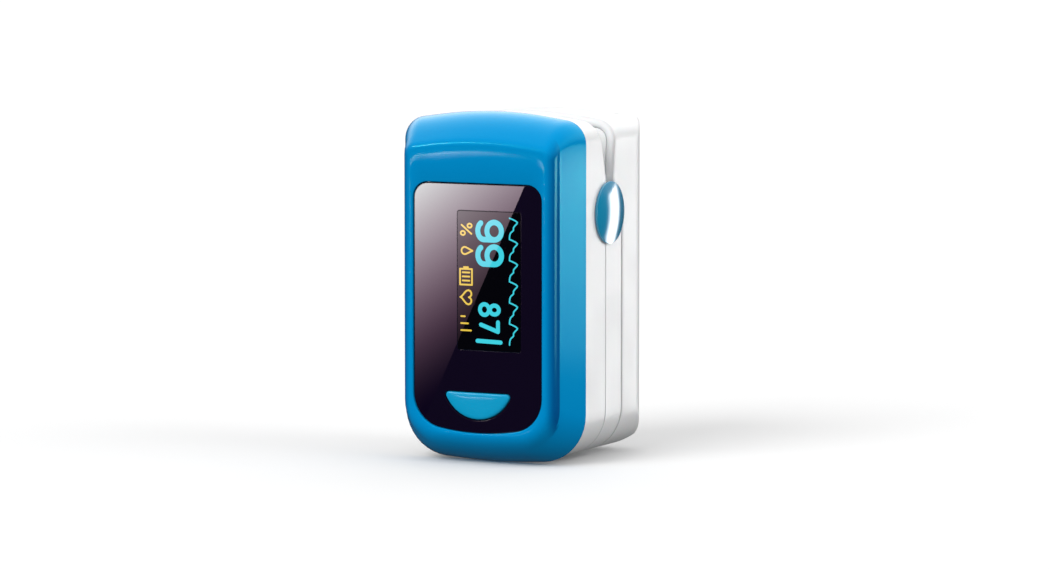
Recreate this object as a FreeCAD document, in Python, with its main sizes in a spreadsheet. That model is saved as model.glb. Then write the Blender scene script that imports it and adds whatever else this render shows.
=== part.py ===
import FreeCAD, Part

# Fingertip pulse oximeter, standing on its finger end, as a parametric FreeCAD document.
#
# The frame: X across the device, Y from the display (front, negative) to the battery door (back, positive),
# Z up along its length. The origin is at the bottom centre. Depths are measured back from the front face.

import math
import os

import Sketcher

DIMENSIONS = {
    # overall
    "length": 60.5,
    "width": 35.0,
    "body_depth": 34.0,
    # front view: shallow arches at both ends, rounded corners
    "top_slope": 0.14,
    "top_arch_radius": 74.0,
    "top_corner_radius": 4.2,
    "bottom_slope": 0.07,
    "bottom_arch_radius": 110.0,
    "bottom_corner_radius": 8.6,
    # back edges
    "back_side_radius": 7.0,
    "back_end_radius": 6.0,
    # blue bezel shell
    "bezel_depth": 6.8,
    "bezel_wall": 1.2,
    "bevel_side_run": 3.8,
    "bevel_end_run": 4.6,
    "bevel_middle": 0.4,
    "bevel_end_bulge": 0.6,
    "bevel_corner_drop": 2.4,
    "lip_length": 0.8,
    "lip_wall": 0.9,
    "lip_inset": 1.95,
    # display window
    "window_half": 12.4,
    "window_bottom": 5.5,
    "window_top": 48.5,
    "window_slope": 0.17,
    "window_arch_radius": 42.0,
    "window_top_radius": 2.8,
    "window_corner_radius": 6.0,
    "window_recess": 0.25,
    "window_flange": 0.4,
    "window_flange_wall": 0.7,
    # display, carrier and main board
    "display_gap": 0.3,
    "display_side_shift": 1.6,
    "display_height": 32.0,
    "display_glass_width": 19.3,
    "display_glass_length": 26.7,
    "display_glass_wall": 1.4,
    "carrier_wall": 0.6,
    "carrier_half": 11.4,
    "carrier_bottom": 15.0,
    "carrier_top": 47.4,
    "board_wall": 1.0,
    "board_half": 11.0,
    "board_bottom": 6.4,
    "board_top": 50.0,
    "part_room": 2.2,
    # power key
    "key_half": 6.6,
    "key_top": 12.5,
    "key_side_slope": 1.732,
    "key_top_radius": 0.6,
    "key_foot_radius": 6.8,
    "key_proud": 0.25,
    "key_flange": 0.5,
    "key_flange_wall": 0.3,
    "key_travel": 0.35,
    "switch_body_height": 1.7,
    "plunger_radius": 0.9,
    # white shells
    "white_step": 0.4,
    "shell_wall": 1.5,
    "seam_depth": 15.1,
    "seam_gap": 0.15,
    "parting_depth": 21.3,
    "parting_gap": 0.3,
    # hinge
    "hinge_depth": 16.2,
    "hinge_height": 43.0,
    "boss_radius": 4.9,
    "boss_height": 0.8,
    "boss_gap": 0.35,
    "pin_radius": 1.0,
    "lug_radius": 3.4,
    "lug_wall": 2.0,
    "lug_gap": 0.35,
    "cap_radius": 5.4,
    "cap_rim": 0.35,
    "cap_dome": 0.7,
    "cap_gap": 0.1,
    "cap_stem_radius": 2.6,
    "cap_stem_length": 0.7,
    # notch between the pinch ends
    "notch_root": 5.5,
    "notch_front_offset": -0.9,
    "notch_rear_offset": 1.7,
    "notch_front_slope": 0.27,
    "notch_rear_slope": 0.1,
    "notch_wall_foot": 3.6,
    # finger channel
    "trough_half": 10.5,
    "trough_wall": 1.2,
    "trough_radius": 4.0,
    "trough_end": 38.8,
    "tray_wall": 1.2,
    "pad_floor": 1.6,
    "pad_bottom": 1.4,
    "pad_radius": 9.6,
    "plug_half": 10.1,
    "plug_rise": 2.2,
    "plug_bottom": 3.6,
    "rear_pad_floor": 0.9,
    "rear_pad_rise": 2.4,
    # optics
    "sensor_height": 20.0,
    "lens_radius": 3.0,
    "lens_wall": 1.0,
    # battery bay
    "door_wall": 1.2,
    "door_half": 11.6,
    "door_bottom": 7.0,
    "door_tongue": 0.7,
    "cell_radius": 5.25,
    "cell_length": 43.5,
    "cell_nub_radius": 1.9,
    "cell_nub_length": 1.0,
    "cell_gap": 0.25,
    "cell_pitch": 10.9,
    "cell_bottom": 7.8,
    "bay_wall": 1.2,
    "contact_wall": 0.4,
    "contact_coil_radius": 2.6,
    "contact_coil_pitch": 0.8,
    "contact_coil_turns": 1.75,
    "contact_wire_radius": 0.25,
    # fastening
    "column_radius": 1.75,
    "column_side": 13.75,
    "screw_low": 9.5,
    "screw_high": 34.0,
    "screw_radius": 0.85,
    "screw_head_radius": 1.5,
    "screw_head_wall": 0.8,
    "screw_length": 6.0,
    # torsion spring
    "wire_radius": 0.3,
    "coil_radius": 1.75,
    "coil_pitch": 1.0,
    "coil_turns": 7.5,
    "leg_length": 9.8,
    "fit_gap": 0.15,
}

doc = FreeCAD.newDocument("fingertip_pulse_oximeter")
sheet = doc.addObject("Spreadsheet::Sheet", "dim")
for row, (alias, number) in enumerate(DIMENSIONS.items(), start=1):
    sheet.set(f"A{row}", alias)
    sheet.set(f"B{row}", str(number))
    sheet.setAlias(f"B{row}", alias)
doc.recompute()

parts = {}


# ---------------------------------------------------------------- helpers


def value(expression):
    """The number that an expression over the sheet's cells gives now."""
    return float(sheet.evalExpression(str(expression)))


def deep(expression):
    """The Y of a depth measured back from the front face."""
    return f"(-dim.body_depth / 2 + {expression})"


def draw(sketch, corners):
    """Draws a closed outline from corners (across, up) or (across, up, radius), all held by expressions."""
    points = [FreeCAD.Vector(value(c[0]), value(c[1]), 0) for c in corners]
    radii = [value(c[2]) if len(c) > 2 else 0.0 for c in corners]
    count = len(points)
    before, after, middles = [], [], []
    for i, here in enumerate(points):
        back = (points[i - 1] - here).normalize()
        ahead = (points[(i + 1) % count] - here).normalize()
        half = back.getAngle(ahead) / 2
        trim = radii[i] / math.tan(half)
        inward = (back + ahead).normalize()
        before.append(here + back * trim)
        after.append(here + ahead * trim)
        middles.append(here + inward * (radii[i] / math.sin(half) - radii[i]))
    lines = [
        sketch.addGeometry(Part.LineSegment(after[i], before[(i + 1) % count]))
        for i in range(count)
    ]
    for i, corner in enumerate(corners):
        leaving, arriving = lines[i], lines[i - 1]
        if radii[i]:
            arc = sketch.addGeometry(Part.Arc(before[i], middles[i], after[i]))
            first, last = (1, 2) if (sketch.getPoint(arc, 1) - before[i]).Length < 1e-6 else (2, 1)
            sketch.addConstraint(Sketcher.Constraint("Tangent", arriving, 2, arc, first))
            sketch.addConstraint(Sketcher.Constraint("Tangent", arc, last, leaving, 1))
            hold(sketch, Sketcher.Constraint("Radius", arc, radii[i]), corner[2])
            mark = sketch.addGeometry(Part.Point(points[i]), True)
            sketch.addConstraint(Sketcher.Constraint("PointOnObject", mark, 1, arriving))
            sketch.addConstraint(Sketcher.Constraint("PointOnObject", mark, 1, leaving))
        else:
            sketch.addConstraint(Sketcher.Constraint("Coincident", arriving, 2, leaving, 1))
            mark = leaving
        hold(sketch, Sketcher.Constraint("DistanceX", -1, 1, mark, 1, points[i].x), corner[0])
        hold(sketch, Sketcher.Constraint("DistanceY", -1, 1, mark, 1, points[i].y), corner[1])


def hold(sketch, constraint, expression):
    """Adds a constraint whose size follows an expression."""
    index = sketch.addConstraint(constraint)
    sketch.setExpression(f"Constraints[{index}]", str(expression))


PLANES = {"front": "XZ_Plane", "side": "YZ_Plane", "top": "XY_Plane"}


def outline(body, name, view, corners, offset):
    """A sketch of an outline in a body, moved off the view's plane by offset."""
    sketch = body.newObject("Sketcher::SketchObject", name)
    plane = next(f for f in body.Origin.OriginFeatures if f.Role == PLANES[view])
    sketch.AttachmentSupport = [(plane, "")]
    sketch.MapMode = "FlatFace"
    sketch.setExpression(".AttachmentOffset.Base.z", str(offset))
    draw(sketch, corners)
    return sketch


def prism(name, view, corners, start, end):
    """A body padded from an outline seen in a view, from start to end along that view's axis."""
    body = doc.addObject("PartDesign::Body", name)
    # the front view's plane looks along -Y, so its pad starts at the far end
    first = f"-({end})" if view == "front" else start
    sketch = outline(body, name + "_outline", view, corners, first)
    pad = body.newObject("PartDesign::Pad", name + "_pad")
    pad.Profile = sketch
    pad.Length = value(f"{end} - ({start})")
    pad.setExpression("Length", f"{end} - ({start})")
    return body


def loft(name, sections, ruled):
    """A solid lofted through front-view outlines given as (depth, corners)."""
    skin = doc.addObject("Part::Loft", name)
    skin.Sections = [facing_sketch(f"{name}_section_{i}", *section) for i, section in enumerate(sections)]
    skin.Solid = True
    skin.Ruled = ruled
    return skin


def facing_sketch(name, depth, corners):
    """A sketch that stands upright at a depth, seen from the front."""
    sketch = doc.addObject("Sketcher::SketchObject", name)
    sketch.Placement = FreeCAD.Placement(FreeCAD.Vector(), FreeCAD.Rotation(FreeCAD.Vector(1, 0, 0), 90))
    sketch.setExpression(".Placement.Base.y", deep(depth))
    draw(sketch, corners)
    return sketch


def block(name, x, y, z):
    """A box between pairs of positions along X, Y and Z."""
    box = doc.addObject("Part::Box", name)
    for size, place, (low, high) in (("Length", "x", x), ("Width", "y", y), ("Height", "z", z)):
        box.setExpression(size, f"{high} - ({low})")
        box.setExpression(f".Placement.Base.{place}", str(low))
    return box


TURNS = {
    "X": FreeCAD.Rotation(FreeCAD.Vector(0, 1, 0), 90),
    "Y": FreeCAD.Rotation(FreeCAD.Vector(1, 0, 0), -90),
    "Z": FreeCAD.Rotation(),
}


def rod(name, axis, radius, start, end, across):
    """A cylinder along an axis from start to end, at the two other positions in X, Y, Z order."""
    cylinder = doc.addObject("Part::Cylinder", name)
    cylinder.Placement = FreeCAD.Placement(FreeCAD.Vector(), TURNS[axis])
    cylinder.setExpression("Radius", str(radius))
    cylinder.setExpression("Height", f"{end} - ({start})")
    other = iter(across)
    for letter in "XYZ":
        position = start if letter == axis else next(other)
        cylinder.setExpression(f".Placement.Base.{letter.lower()}", str(position))
    return cylinder


def joined(name, *shapes):
    """The union of shapes."""
    fusion = doc.addObject("Part::MultiFuse", name)
    fusion.Shapes = list(shapes)
    return fusion


def shared(name, *shapes):
    """What shapes have in common."""
    common = doc.addObject("Part::MultiCommon", name)
    common.Shapes = list(shapes)
    return common


def without(name, base, *tools):
    """A base with tools cut away."""
    tool = tools[0] if len(tools) == 1 else joined(name + "_tools", *tools)
    cut = doc.addObject("Part::Cut", name)
    cut.Base = base
    cut.Tool = tool
    return cut


def group(name, *shapes):
    """Separate solids that share one node."""
    compound = doc.addObject("Part::Compound", name)
    compound.Links = list(shapes)
    return compound


def sub_part(label, shape):
    """Names a finished sub-part, which is written to a file of that name."""
    shape.Label = label
    parts[label] = shape
    return shape


def both_sides(low, high):
    """The X spans of a feature on the right and on the left."""
    return (("right", low, high), ("left", f"-({high})", f"-({low})"))


# ---------------------------------------------------------------- shared outlines

FAR = 10  # how far a cutting shape runs past what it cuts

BEZEL_BACK = "(dim.bezel_depth + dim.cap_gap)"
WINDOW_BACK = "(dim.bezel_wall + dim.window_flange_wall)"
DISPLAY_FRONT = f"({WINDOW_BACK} + dim.display_gap)"
DISPLAY_BACK = f"({DISPLAY_FRONT} + dim.display_glass_wall)"
BOARD_FRONT = f"({DISPLAY_BACK} + dim.carrier_wall)"
BOARD_BACK = f"({BOARD_FRONT} + dim.board_wall)"
DECK_FRONT = f"({BOARD_BACK} + dim.part_room)"
DECK_BACK = f"({DECK_FRONT} + dim.tray_wall)"
PAD_BACK = f"({DECK_BACK} + dim.pad_floor)"
REAR_FACE = "(dim.parting_depth + dim.parting_gap)"
PLUG_FACE = f"({REAR_FACE} - dim.plug_rise)"
REAR_PAD_FACE = f"({PLUG_FACE} - dim.rear_pad_floor)"
CELL_AXIS = "(dim.body_depth - dim.door_wall - dim.cell_gap - dim.cell_radius)"
WHITE_HALF = "(dim.width / 2 - dim.white_step)"
INNER_HALF = f"({WHITE_HALF} - dim.shell_wall)"
HINGE_Y = deep("dim.hinge_depth")
HINGE_Z = "dim.hinge_height"
TROUGH_OUT = "(dim.trough_half + dim.trough_wall)"
KEY_MIDDLE = "(dim.key_top - 2.3)"
BAY_FLOOR = "(dim.cell_bottom - 2.5)"
BAY_TOP = "(dim.cell_bottom + dim.cell_length + dim.cell_nub_length + 2.5)"
BAY_HALF = "(dim.cell_pitch / 2 + dim.cell_radius + 0.4)"


def arched(inset):
    """The front view's outline, drawn in by inset."""
    return arched_outline(inset, inset, inset)


def arched_outline(side_inset, end_inset, corner_drop):
    """The front view's outline, drawn in at the sides and ends, with smaller corner radii."""
    half = f"(dim.width / 2 - {side_inset})"
    steep = "sqrt(1 + dim.top_slope^2)"
    shallow = "sqrt(1 + dim.bottom_slope^2)"
    top_radius = f"(dim.top_arch_radius - {end_inset})"
    bottom_radius = f"(dim.bottom_arch_radius - {end_inset})"
    peak = f"(dim.length - {end_inset} + {top_radius} * ({steep} - 1))"
    trough = f"({end_inset} - {bottom_radius} * ({shallow} - 1))"
    shoulder = f"({peak} - dim.top_slope * {half})"
    heel = f"({trough} + dim.bottom_slope * {half})"
    top_corner = f"(dim.top_corner_radius - {corner_drop})"
    bottom_corner = f"(dim.bottom_corner_radius - {corner_drop})"
    return [
        ("0", trough, bottom_radius),
        (half, heel, bottom_corner),
        (half, shoulder, top_corner),
        ("0", peak, top_radius),
        (f"-{half}", shoulder, top_corner),
        (f"-{half}", heel, bottom_corner),
    ]


def white_envelope(name, inset):
    """The outside of the white body, drawn in by inset; it runs from the front face to the back."""
    drawn_in = f"(dim.white_step + {inset})"
    half = f"(dim.width / 2 - {drawn_in})"
    back = deep(f"(dim.body_depth - {inset})")
    front = deep("0")
    low, high = drawn_in, f"(dim.length - {drawn_in})"
    side_radius = f"(dim.back_side_radius - {inset})"
    end_radius = f"(dim.back_end_radius - {inset})"
    return shared(
        name,
        prism(name + "_front", "front", arched(drawn_in), front, back),
        prism(
            name + "_top",
            "top",
            [(f"-{half}", front), (half, front), (half, back, side_radius), (f"-{half}", back, side_radius)],
            f"-{FAR}",
            f"dim.length + {FAR}",
        ),
        prism(
            name + "_side",
            "side",
            [(front, low), (back, low, end_radius), (back, high, end_radius), (front, high)],
            "-dim.width",
            "dim.width",
        ),
    )


def window_outline(grow):
    """The display window's outline, larger by grow."""
    half = f"(dim.window_half + {grow})"
    steep = "sqrt(1 + dim.window_slope^2)"
    arch = f"(dim.window_arch_radius + {grow})"
    foot = f"(dim.window_bottom - {grow} - {arch} * ({steep} - 1))"
    heel = f"({foot} + dim.window_slope * {half})"
    head = f"(dim.window_top + {grow})"
    corner = f"(dim.window_corner_radius + {grow})"
    top_corner = f"(dim.window_top_radius + {grow})"
    return [
        ("0", foot, arch),
        (half, heel, corner),
        (half, head, top_corner),
        (f"-{half}", head, top_corner),
        (f"-{half}", heel, corner),
    ]


def key_outline(grow):
    """The power key's half-moon outline, larger by grow."""
    spread = "((sqrt(1 + dim.key_side_slope^2) + 1) / dim.key_side_slope)"
    half = f"(dim.key_half + {grow} * {spread})"
    top = f"(dim.key_top + {grow})"
    return [
        (f"-{half}", top, f"(dim.key_top_radius + {grow})"),
        ("0", f"({top} - dim.key_side_slope * {half})", f"(dim.key_foot_radius + {grow})"),
        (half, top, f"(dim.key_top_radius + {grow})"),
    ]


def notch_face(offset, slope, height, inset="0"):
    """The depth of one face of the pinch notch at a height, moved by inset."""
    rise = f"({height} - dim.hinge_height - dim.notch_root)"
    return f"(dim.hinge_depth + {offset} + {slope} * {rise} + {inset} * sqrt(1 + {slope}^2))"


def front_notch(height, inset="0"):
    return notch_face("dim.notch_front_offset", "(-dim.notch_front_slope)", height, f"(-{inset})")


def rear_notch(height, inset="0"):
    return notch_face("dim.notch_rear_offset", "dim.notch_rear_slope", height, inset)


ABOVE = f"(dim.length + {FAR})"
BELOW = f"(-{FAR})"
ROOT = "(dim.hinge_height + dim.notch_root)"


def half_width_prism(name, corners, half):
    """A side-view outline spread evenly to both sides."""
    return prism(name, "side", corners, f"-({half})", half)


def rear_region(name, inset, around_hinge):
    """The side view of the rear half, drawn in by inset, with a hollow round the hinge."""
    face = f"({REAR_FACE} + {inset})"
    outline = [
        (deep(face), BELOW),
        (deep(f"(dim.body_depth + {FAR})"), BELOW),
        (deep(f"(dim.body_depth + {FAR})"), ABOVE),
        (deep(rear_notch(ABOVE, inset)), ABOVE),
        (deep(rear_notch(ROOT, inset)), ROOT),
        (deep(face), HINGE_Z),
    ]
    region = half_width_prism(name + "_outline", outline, "dim.width")
    return without(
        name,
        region,
        rod(name + "_hinge", "X", around_hinge, "-dim.width", "dim.width", (HINGE_Y, HINGE_Z)),
    )


# ---------------------------------------------------------------- front half


def build_bezel():
    # share of the depth, then side inset, end inset and corner drop as shares of the bevel's own
    rounding = [
        (1.0, "0", "0", "0"),
        ("dim.bevel_middle", "(1 - dim.bevel_middle)", "(1 - dim.bevel_end_bulge)", "(1 - dim.bevel_middle)"),
        (0.15, "0.85", "0.8", "0.85"),
        (0.0, "1.15", "1.1", "1.15"),
    ]
    sections = [
        (
            f"dim.bezel_depth * {share}",
            arched_outline(
                f"dim.bevel_side_run * {side}",
                f"dim.bevel_end_run * {end}",
                f"dim.bevel_corner_drop * {drop}",
            ),
        )
        for share, side, end, drop in rounding
    ]
    body = loft("bezel_outside", sections, False)
    # the cavity runs parallel to the side bevels and stays open at the back
    side_wall = "(dim.bezel_wall * sqrt(1 + (dim.bevel_side_run / dim.bezel_depth)^2))"
    side_front = f"(dim.bevel_side_run * (1 - dim.bezel_wall / dim.bezel_depth) + {side_wall})"
    cavity_back = arched_outline(side_wall, "dim.bezel_wall", "dim.bezel_wall")
    cavity_front = arched_outline(side_front, "(dim.bevel_end_run + 0.2)", "(dim.bevel_corner_drop + 0.6)")
    cavity = loft(
        "bezel_inside", [("(dim.bezel_depth + 0.01)", cavity_back), ("dim.bezel_wall", cavity_front)], True
    )
    opening = prism("window_opening", "front", window_outline("0"), deep("-1"), deep("(dim.bezel_wall + 1)"))
    sub_part("front_bezel", without("bezel", body, cavity, opening))


def build_window():
    gap = "dim.cap_gap"
    plug = prism(
        "window_plug", "front", window_outline(f"-{gap}"), deep("dim.window_recess"), deep("dim.bezel_wall")
    )
    flange = prism(
        "window_flange_plate",
        "front",
        window_outline("dim.window_flange"),
        deep("dim.bezel_wall"),
        deep(WINDOW_BACK),
    )
    key_hole = prism(
        "window_key_hole", "front", key_outline("dim.fit_gap"), deep("-1"), deep(f"({WINDOW_BACK} + 1)")
    )
    sub_part("display_window", without("window", joined("window_blank", plug, flange), key_hole))


def build_display():
    shift, height = "dim.display_side_shift", "dim.display_height"
    across = (f"{shift} - dim.display_glass_width / 2", f"{shift} + dim.display_glass_width / 2")
    up = (f"{height} - dim.display_glass_length / 2", f"{height} + dim.display_glass_length / 2")
    sub_part("display_panel", block("panel", across, (deep(DISPLAY_FRONT), deep(DISPLAY_BACK)), up))
    frame = block(
        "carrier_block",
        ("-dim.carrier_half", "dim.carrier_half"),
        (deep(DISPLAY_FRONT), deep(BOARD_FRONT)),
        ("dim.carrier_bottom", "dim.carrier_top"),
    )
    gap = "dim.cap_gap"
    seat = block(
        "carrier_seat",
        (f"{across[0]} - {gap}", f"{across[1]} + {gap}"),
        (deep(f"({DISPLAY_FRONT} - 1)"), deep(DISPLAY_BACK)),
        (f"{up[0]} - {gap}", f"{up[1]} + {gap}"),
    )
    sub_part("display_carrier", without("carrier", frame, seat))


def build_board():
    half = "dim.board_half"
    sub_part(
        "main_board",
        prism(
            "board",
            "front",
            [
                (f"-{half}", "dim.board_bottom", "3"),
                (half, "dim.board_bottom", "3"),
                (half, "dim.board_top", "1.5"),
                (f"-{half}", "dim.board_top", "1.5"),
            ],
            deep(BOARD_FRONT),
            deep(BOARD_BACK),
        ),
    )

    def chip(name, side, height, wide, tall, thick):
        return block(
            name,
            (f"{side} - {wide} / 2", f"{side} + {wide} / 2"),
            (deep(BOARD_BACK), deep(f"({BOARD_BACK} + {thick})")),
            (f"{height} - {tall} / 2", f"{height} + {tall} / 2"),
        )

    sub_part("processor_chip", chip("processor", "0", "34", "7", "7", "1.0"))
    sub_part("oscillator_can", chip("oscillator", "-7.2", "34", "3.2", "5", "1.2"))
    small = [
        chip(f"small_part_{i}", side, height, "1.0", "2.0", "0.8")
        for i, (side, height) in enumerate(
            [
                ("-6", "12"),
                ("-3.5", "12"),
                ("3.5", "12"),
                ("6", "12"),
                ("7", "28"),
                ("7", "32"),
                ("7", "36"),
                ("-7", "26"),
            ]
        )
    ]
    amplifier = chip("amplifier", "0", "27.5", "4", "3.2", "1.0")
    sub_part("board_components", group("components", amplifier, *small))
    connector = chip("connector", "7.5", "dim.hinge_height", "5.2", "3", "1.1")
    sub_part("flex_connector", connector)
    sub_part("emitter_led", chip("emitter", "0", "dim.sensor_height", "3.2", "3.2", "1.2"))


def build_key():
    front = "(dim.window_recess - dim.key_proud)"
    flange_front = f"({WINDOW_BACK} + 0.05)"
    flange_back = f"({flange_front} + dim.key_flange_wall)"
    cap = prism("key_cap", "front", key_outline("0"), deep(front), deep(flange_back))
    flange = prism(
        "key_flange_plate", "front", key_outline("dim.key_flange"), deep(flange_front), deep(flange_back)
    )
    # a shallow finger dish in the key's face
    dish = doc.addObject("Part::Sphere", "key_dish")
    dish.Radius = 38
    dish.setExpression(".Placement.Base.y", f"{deep(front)} + 0.12 - 38")
    dish.setExpression(".Placement.Base.z", KEY_MIDDLE)
    sub_part("power_key", without("key", joined("key_blank", cap, flange), dish))

    middle = KEY_MIDDLE
    switch_front = f"({BOARD_FRONT} - dim.switch_body_height)"
    plunger_back = f"({BOARD_FRONT} - dim.key_travel - 0.2)"
    body = block(
        "switch_block",
        ("-3", "3"),
        (deep(switch_front), deep(BOARD_FRONT)),
        (f"{middle} - 1.9", f"{middle} + 1.9"),
    )
    bore = rod(
        "switch_bore",
        "Y",
        "dim.plunger_radius + 0.08",
        deep(f"({switch_front} - 1)"),
        deep(f"({BOARD_FRONT} - 0.1)"),
        ("0", middle),
    )
    sub_part("key_switch", without("switch", body, bore))
    plunger = rod("plunger", "Y", "dim.plunger_radius", deep(flange_back), deep(plunger_back), ("0", middle))
    sub_part("switch_plunger", plunger)


def build_front_housing():
    wall = "dim.shell_wall"
    region = half_width_prism(
        "front_region",
        [
            (deep(BEZEL_BACK), BELOW),
            (deep("dim.seam_depth"), BELOW),
            (deep("dim.seam_depth"), f"{ROOT} - 2"),
            (deep(front_notch(ROOT)), ROOT),
            (deep(front_notch(ABOVE)), ABOVE),
            (deep(BEZEL_BACK), ABOVE),
        ],
        "dim.width",
    )
    foot = "(dim.hinge_height + dim.notch_wall_foot)"
    cavity_region = half_width_prism(
        "front_cavity_region",
        [
            (deep("0"), BELOW),
            (deep("(dim.seam_depth + 1)"), BELOW),
            (deep("(dim.seam_depth + 1)"), foot),
            (deep(front_notch(foot, wall)), foot),
            (deep(front_notch(ABOVE, wall)), ABOVE),
            (deep("0"), ABOVE),
        ],
        "dim.width",
    )
    outside = shared("front_outside", white_envelope("front_white", "0"), region)
    cavity = shared("front_cavity", white_envelope("front_white_inside", wall), cavity_region)
    # a lip that locates the housing inside the bezel
    lip_end = deep("(dim.bezel_depth + dim.shell_wall)")
    lip_ring = without(
        "lip_ring",
        joined(
            "lip_blank",
            prism(
                "lip_outside",
                "front",
                arched("dim.lip_inset"),
                deep("(dim.bezel_depth - dim.lip_length)"),
                lip_end,
            ),
            prism("lip_root", "front", arched("(dim.lip_inset / 2)"), deep(BEZEL_BACK), lip_end),
        ),
        prism(
            "lip_inside",
            "front",
            arched("(dim.lip_inset + dim.lip_wall)"),
            deep("0"),
            deep("(dim.bezel_depth + 4)"),
        ),
    )
    bosses, bores = [], []
    for side, low, high in both_sides(f"({INNER_HALF} - dim.boss_height)", WHITE_HALF):
        bosses.append(rod(f"boss_{side}", "X", "dim.boss_radius", low, high, (HINGE_Y, HINGE_Z)))
        bores.append(
            rod(f"boss_bore_{side}", "X", "dim.pin_radius", f"{low} - 1", f"{high} + 1", (HINGE_Y, HINGE_Z))
        )
    for side, low, high in both_sides(f"({WHITE_HALF} - dim.cap_stem_length - 0.05)", f"({WHITE_HALF} + 1)"):
        bores.append(
            rod(f"cap_seat_{side}", "X", "dim.cap_stem_radius + 0.05", low, high, (HINGE_Y, HINGE_Z))
        )
    columns, screw_bores = screw_columns("front", BEZEL_BACK, "(dim.parting_depth - dim.tray_wall - 0.05)")
    shell = without("front_shell", outside, cavity)
    solid = joined("front_solid", shell, lip_ring, *bosses, *shared_columns("front_columns_in", columns))
    mouth = finger_mouth("front_mouth", f"({DECK_FRONT} - dim.fit_gap)", TROUGH_OUT, "dim.fit_gap")
    groove = block(
        "front_leg_groove",
        ("-dim.coil_turns * dim.coil_pitch / 2 - 0.45", "-dim.coil_turns * dim.coil_pitch / 2 + 0.45"),
        (f"{HINGE_Y} - dim.coil_radius - 0.4", f"{HINGE_Y} + 2"),
        (foot + " - 1", "dim.hinge_height + dim.leg_length + 0.6"),
    )
    sub_part(
        "front_housing",
        without("front_shell_done", solid, mouth, groove, *bores, *screw_bores),
    )


def screw_columns(half_name, start, end):
    """Four screw columns beside the finger channel and the bores for their screws."""
    columns, bores = [], []
    for side in ("right", "left"):
        sign = "" if side == "right" else "-"
        for level, height in (("low", "dim.screw_low"), ("high", "dim.screw_high")):
            where = (f"{sign}dim.column_side", height)
            name = f"{half_name}_{side}_{level}"
            columns.append(rod(name + "_column", "Y", "dim.column_radius", deep(start), deep(end), where))
            if half_name == "front":
                reach = (deep(f"({end} - dim.screw_length)"), deep(f"({end} + 1)"))
            else:
                reach = (deep(f"({start} - 1)"), deep(f"({start} + dim.screw_length)"))
            bores.append(rod(name + "_bore", "Y", "dim.screw_radius", *reach, where))
    return columns, bores


def shared_columns(name, columns):
    """The columns with what would stand outside the white body trimmed off."""
    return [shared(name, joined(name + "_all", *columns), white_envelope(name + "_limit", "0.3"))]


def screws(half_name, face, direction):
    """Four pan-head screws whose heads are sunk in a tray's flange."""
    made = []
    for side in ("right", "left"):
        sign = "" if side == "right" else "-"
        for level, height in (("low", "dim.screw_low"), ("high", "dim.screw_high")):
            where = (f"{sign}dim.column_side", height)
            name = f"{half_name}_screw_{side}_{level}"
            if direction < 0:
                head = rod(
                    name + "_head", "Y", "dim.screw_head_radius", deep(
                        f"({face} - dim.screw_head_wall)"
                    ), deep(face), where
                )
                shank = rod(
                    name + "_shank",
                    "Y",
                    "dim.screw_radius",
                    deep(f"({face} - dim.screw_length + 0.2)"),
                    deep(f"({face} - 0.1)"),
                    where,
                )
                slot_span = (deep(f"({face} - 0.35)"), deep(f"({face} + 1)"))
            else:
                head = rod(
                    name + "_head", "Y", "dim.screw_head_radius", deep(face), deep(
                        f"({face} + dim.screw_head_wall)"
                    ), where
                )
                shank = rod(
                    name + "_shank",
                    "Y",
                    "dim.screw_radius",
                    deep(f"({face} + 0.1)"),
                    deep(f"({face} + dim.screw_length - 0.2)"),
                    where,
                )
                slot_span = (deep(f"({face} - 1)"), deep(f"({face} + 0.35)"))
            slots = joined(
                name + "_cross",
                block(
                    name + "_slot_a",
                    (f"{where[0]} - 0.9", f"{where[0]} + 0.9"),
                    slot_span,
                    (f"{height} - 0.2", f"{height} + 0.2"),
                ),
                block(
                    name + "_slot_b",
                    (f"{where[0]} - 0.2", f"{where[0]} + 0.2"),
                    slot_span,
                    (f"{height} - 0.9", f"{height} + 0.9"),
                ),
            )
            made.append(without(name, joined(name + "_blank", head, shank), slots))
    return made


def finger_mouth(name, front_depth, half, gap):
    """The finger opening cut through an end wall, a slot with rounded front corners."""
    wide = f"({half} + {gap})"
    back = deep(f"(dim.body_depth - {FAR})")
    return prism(
        name,
        "top",
        [
            (f"-{wide}", deep(front_depth), "dim.trough_radius + dim.trough_wall"),
            (wide, deep(front_depth), "dim.trough_radius + dim.trough_wall"),
            (wide, back),
            (f"-{wide}", back),
        ],
        BELOW,
        "dim.trough_end - 10",
    )


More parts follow.
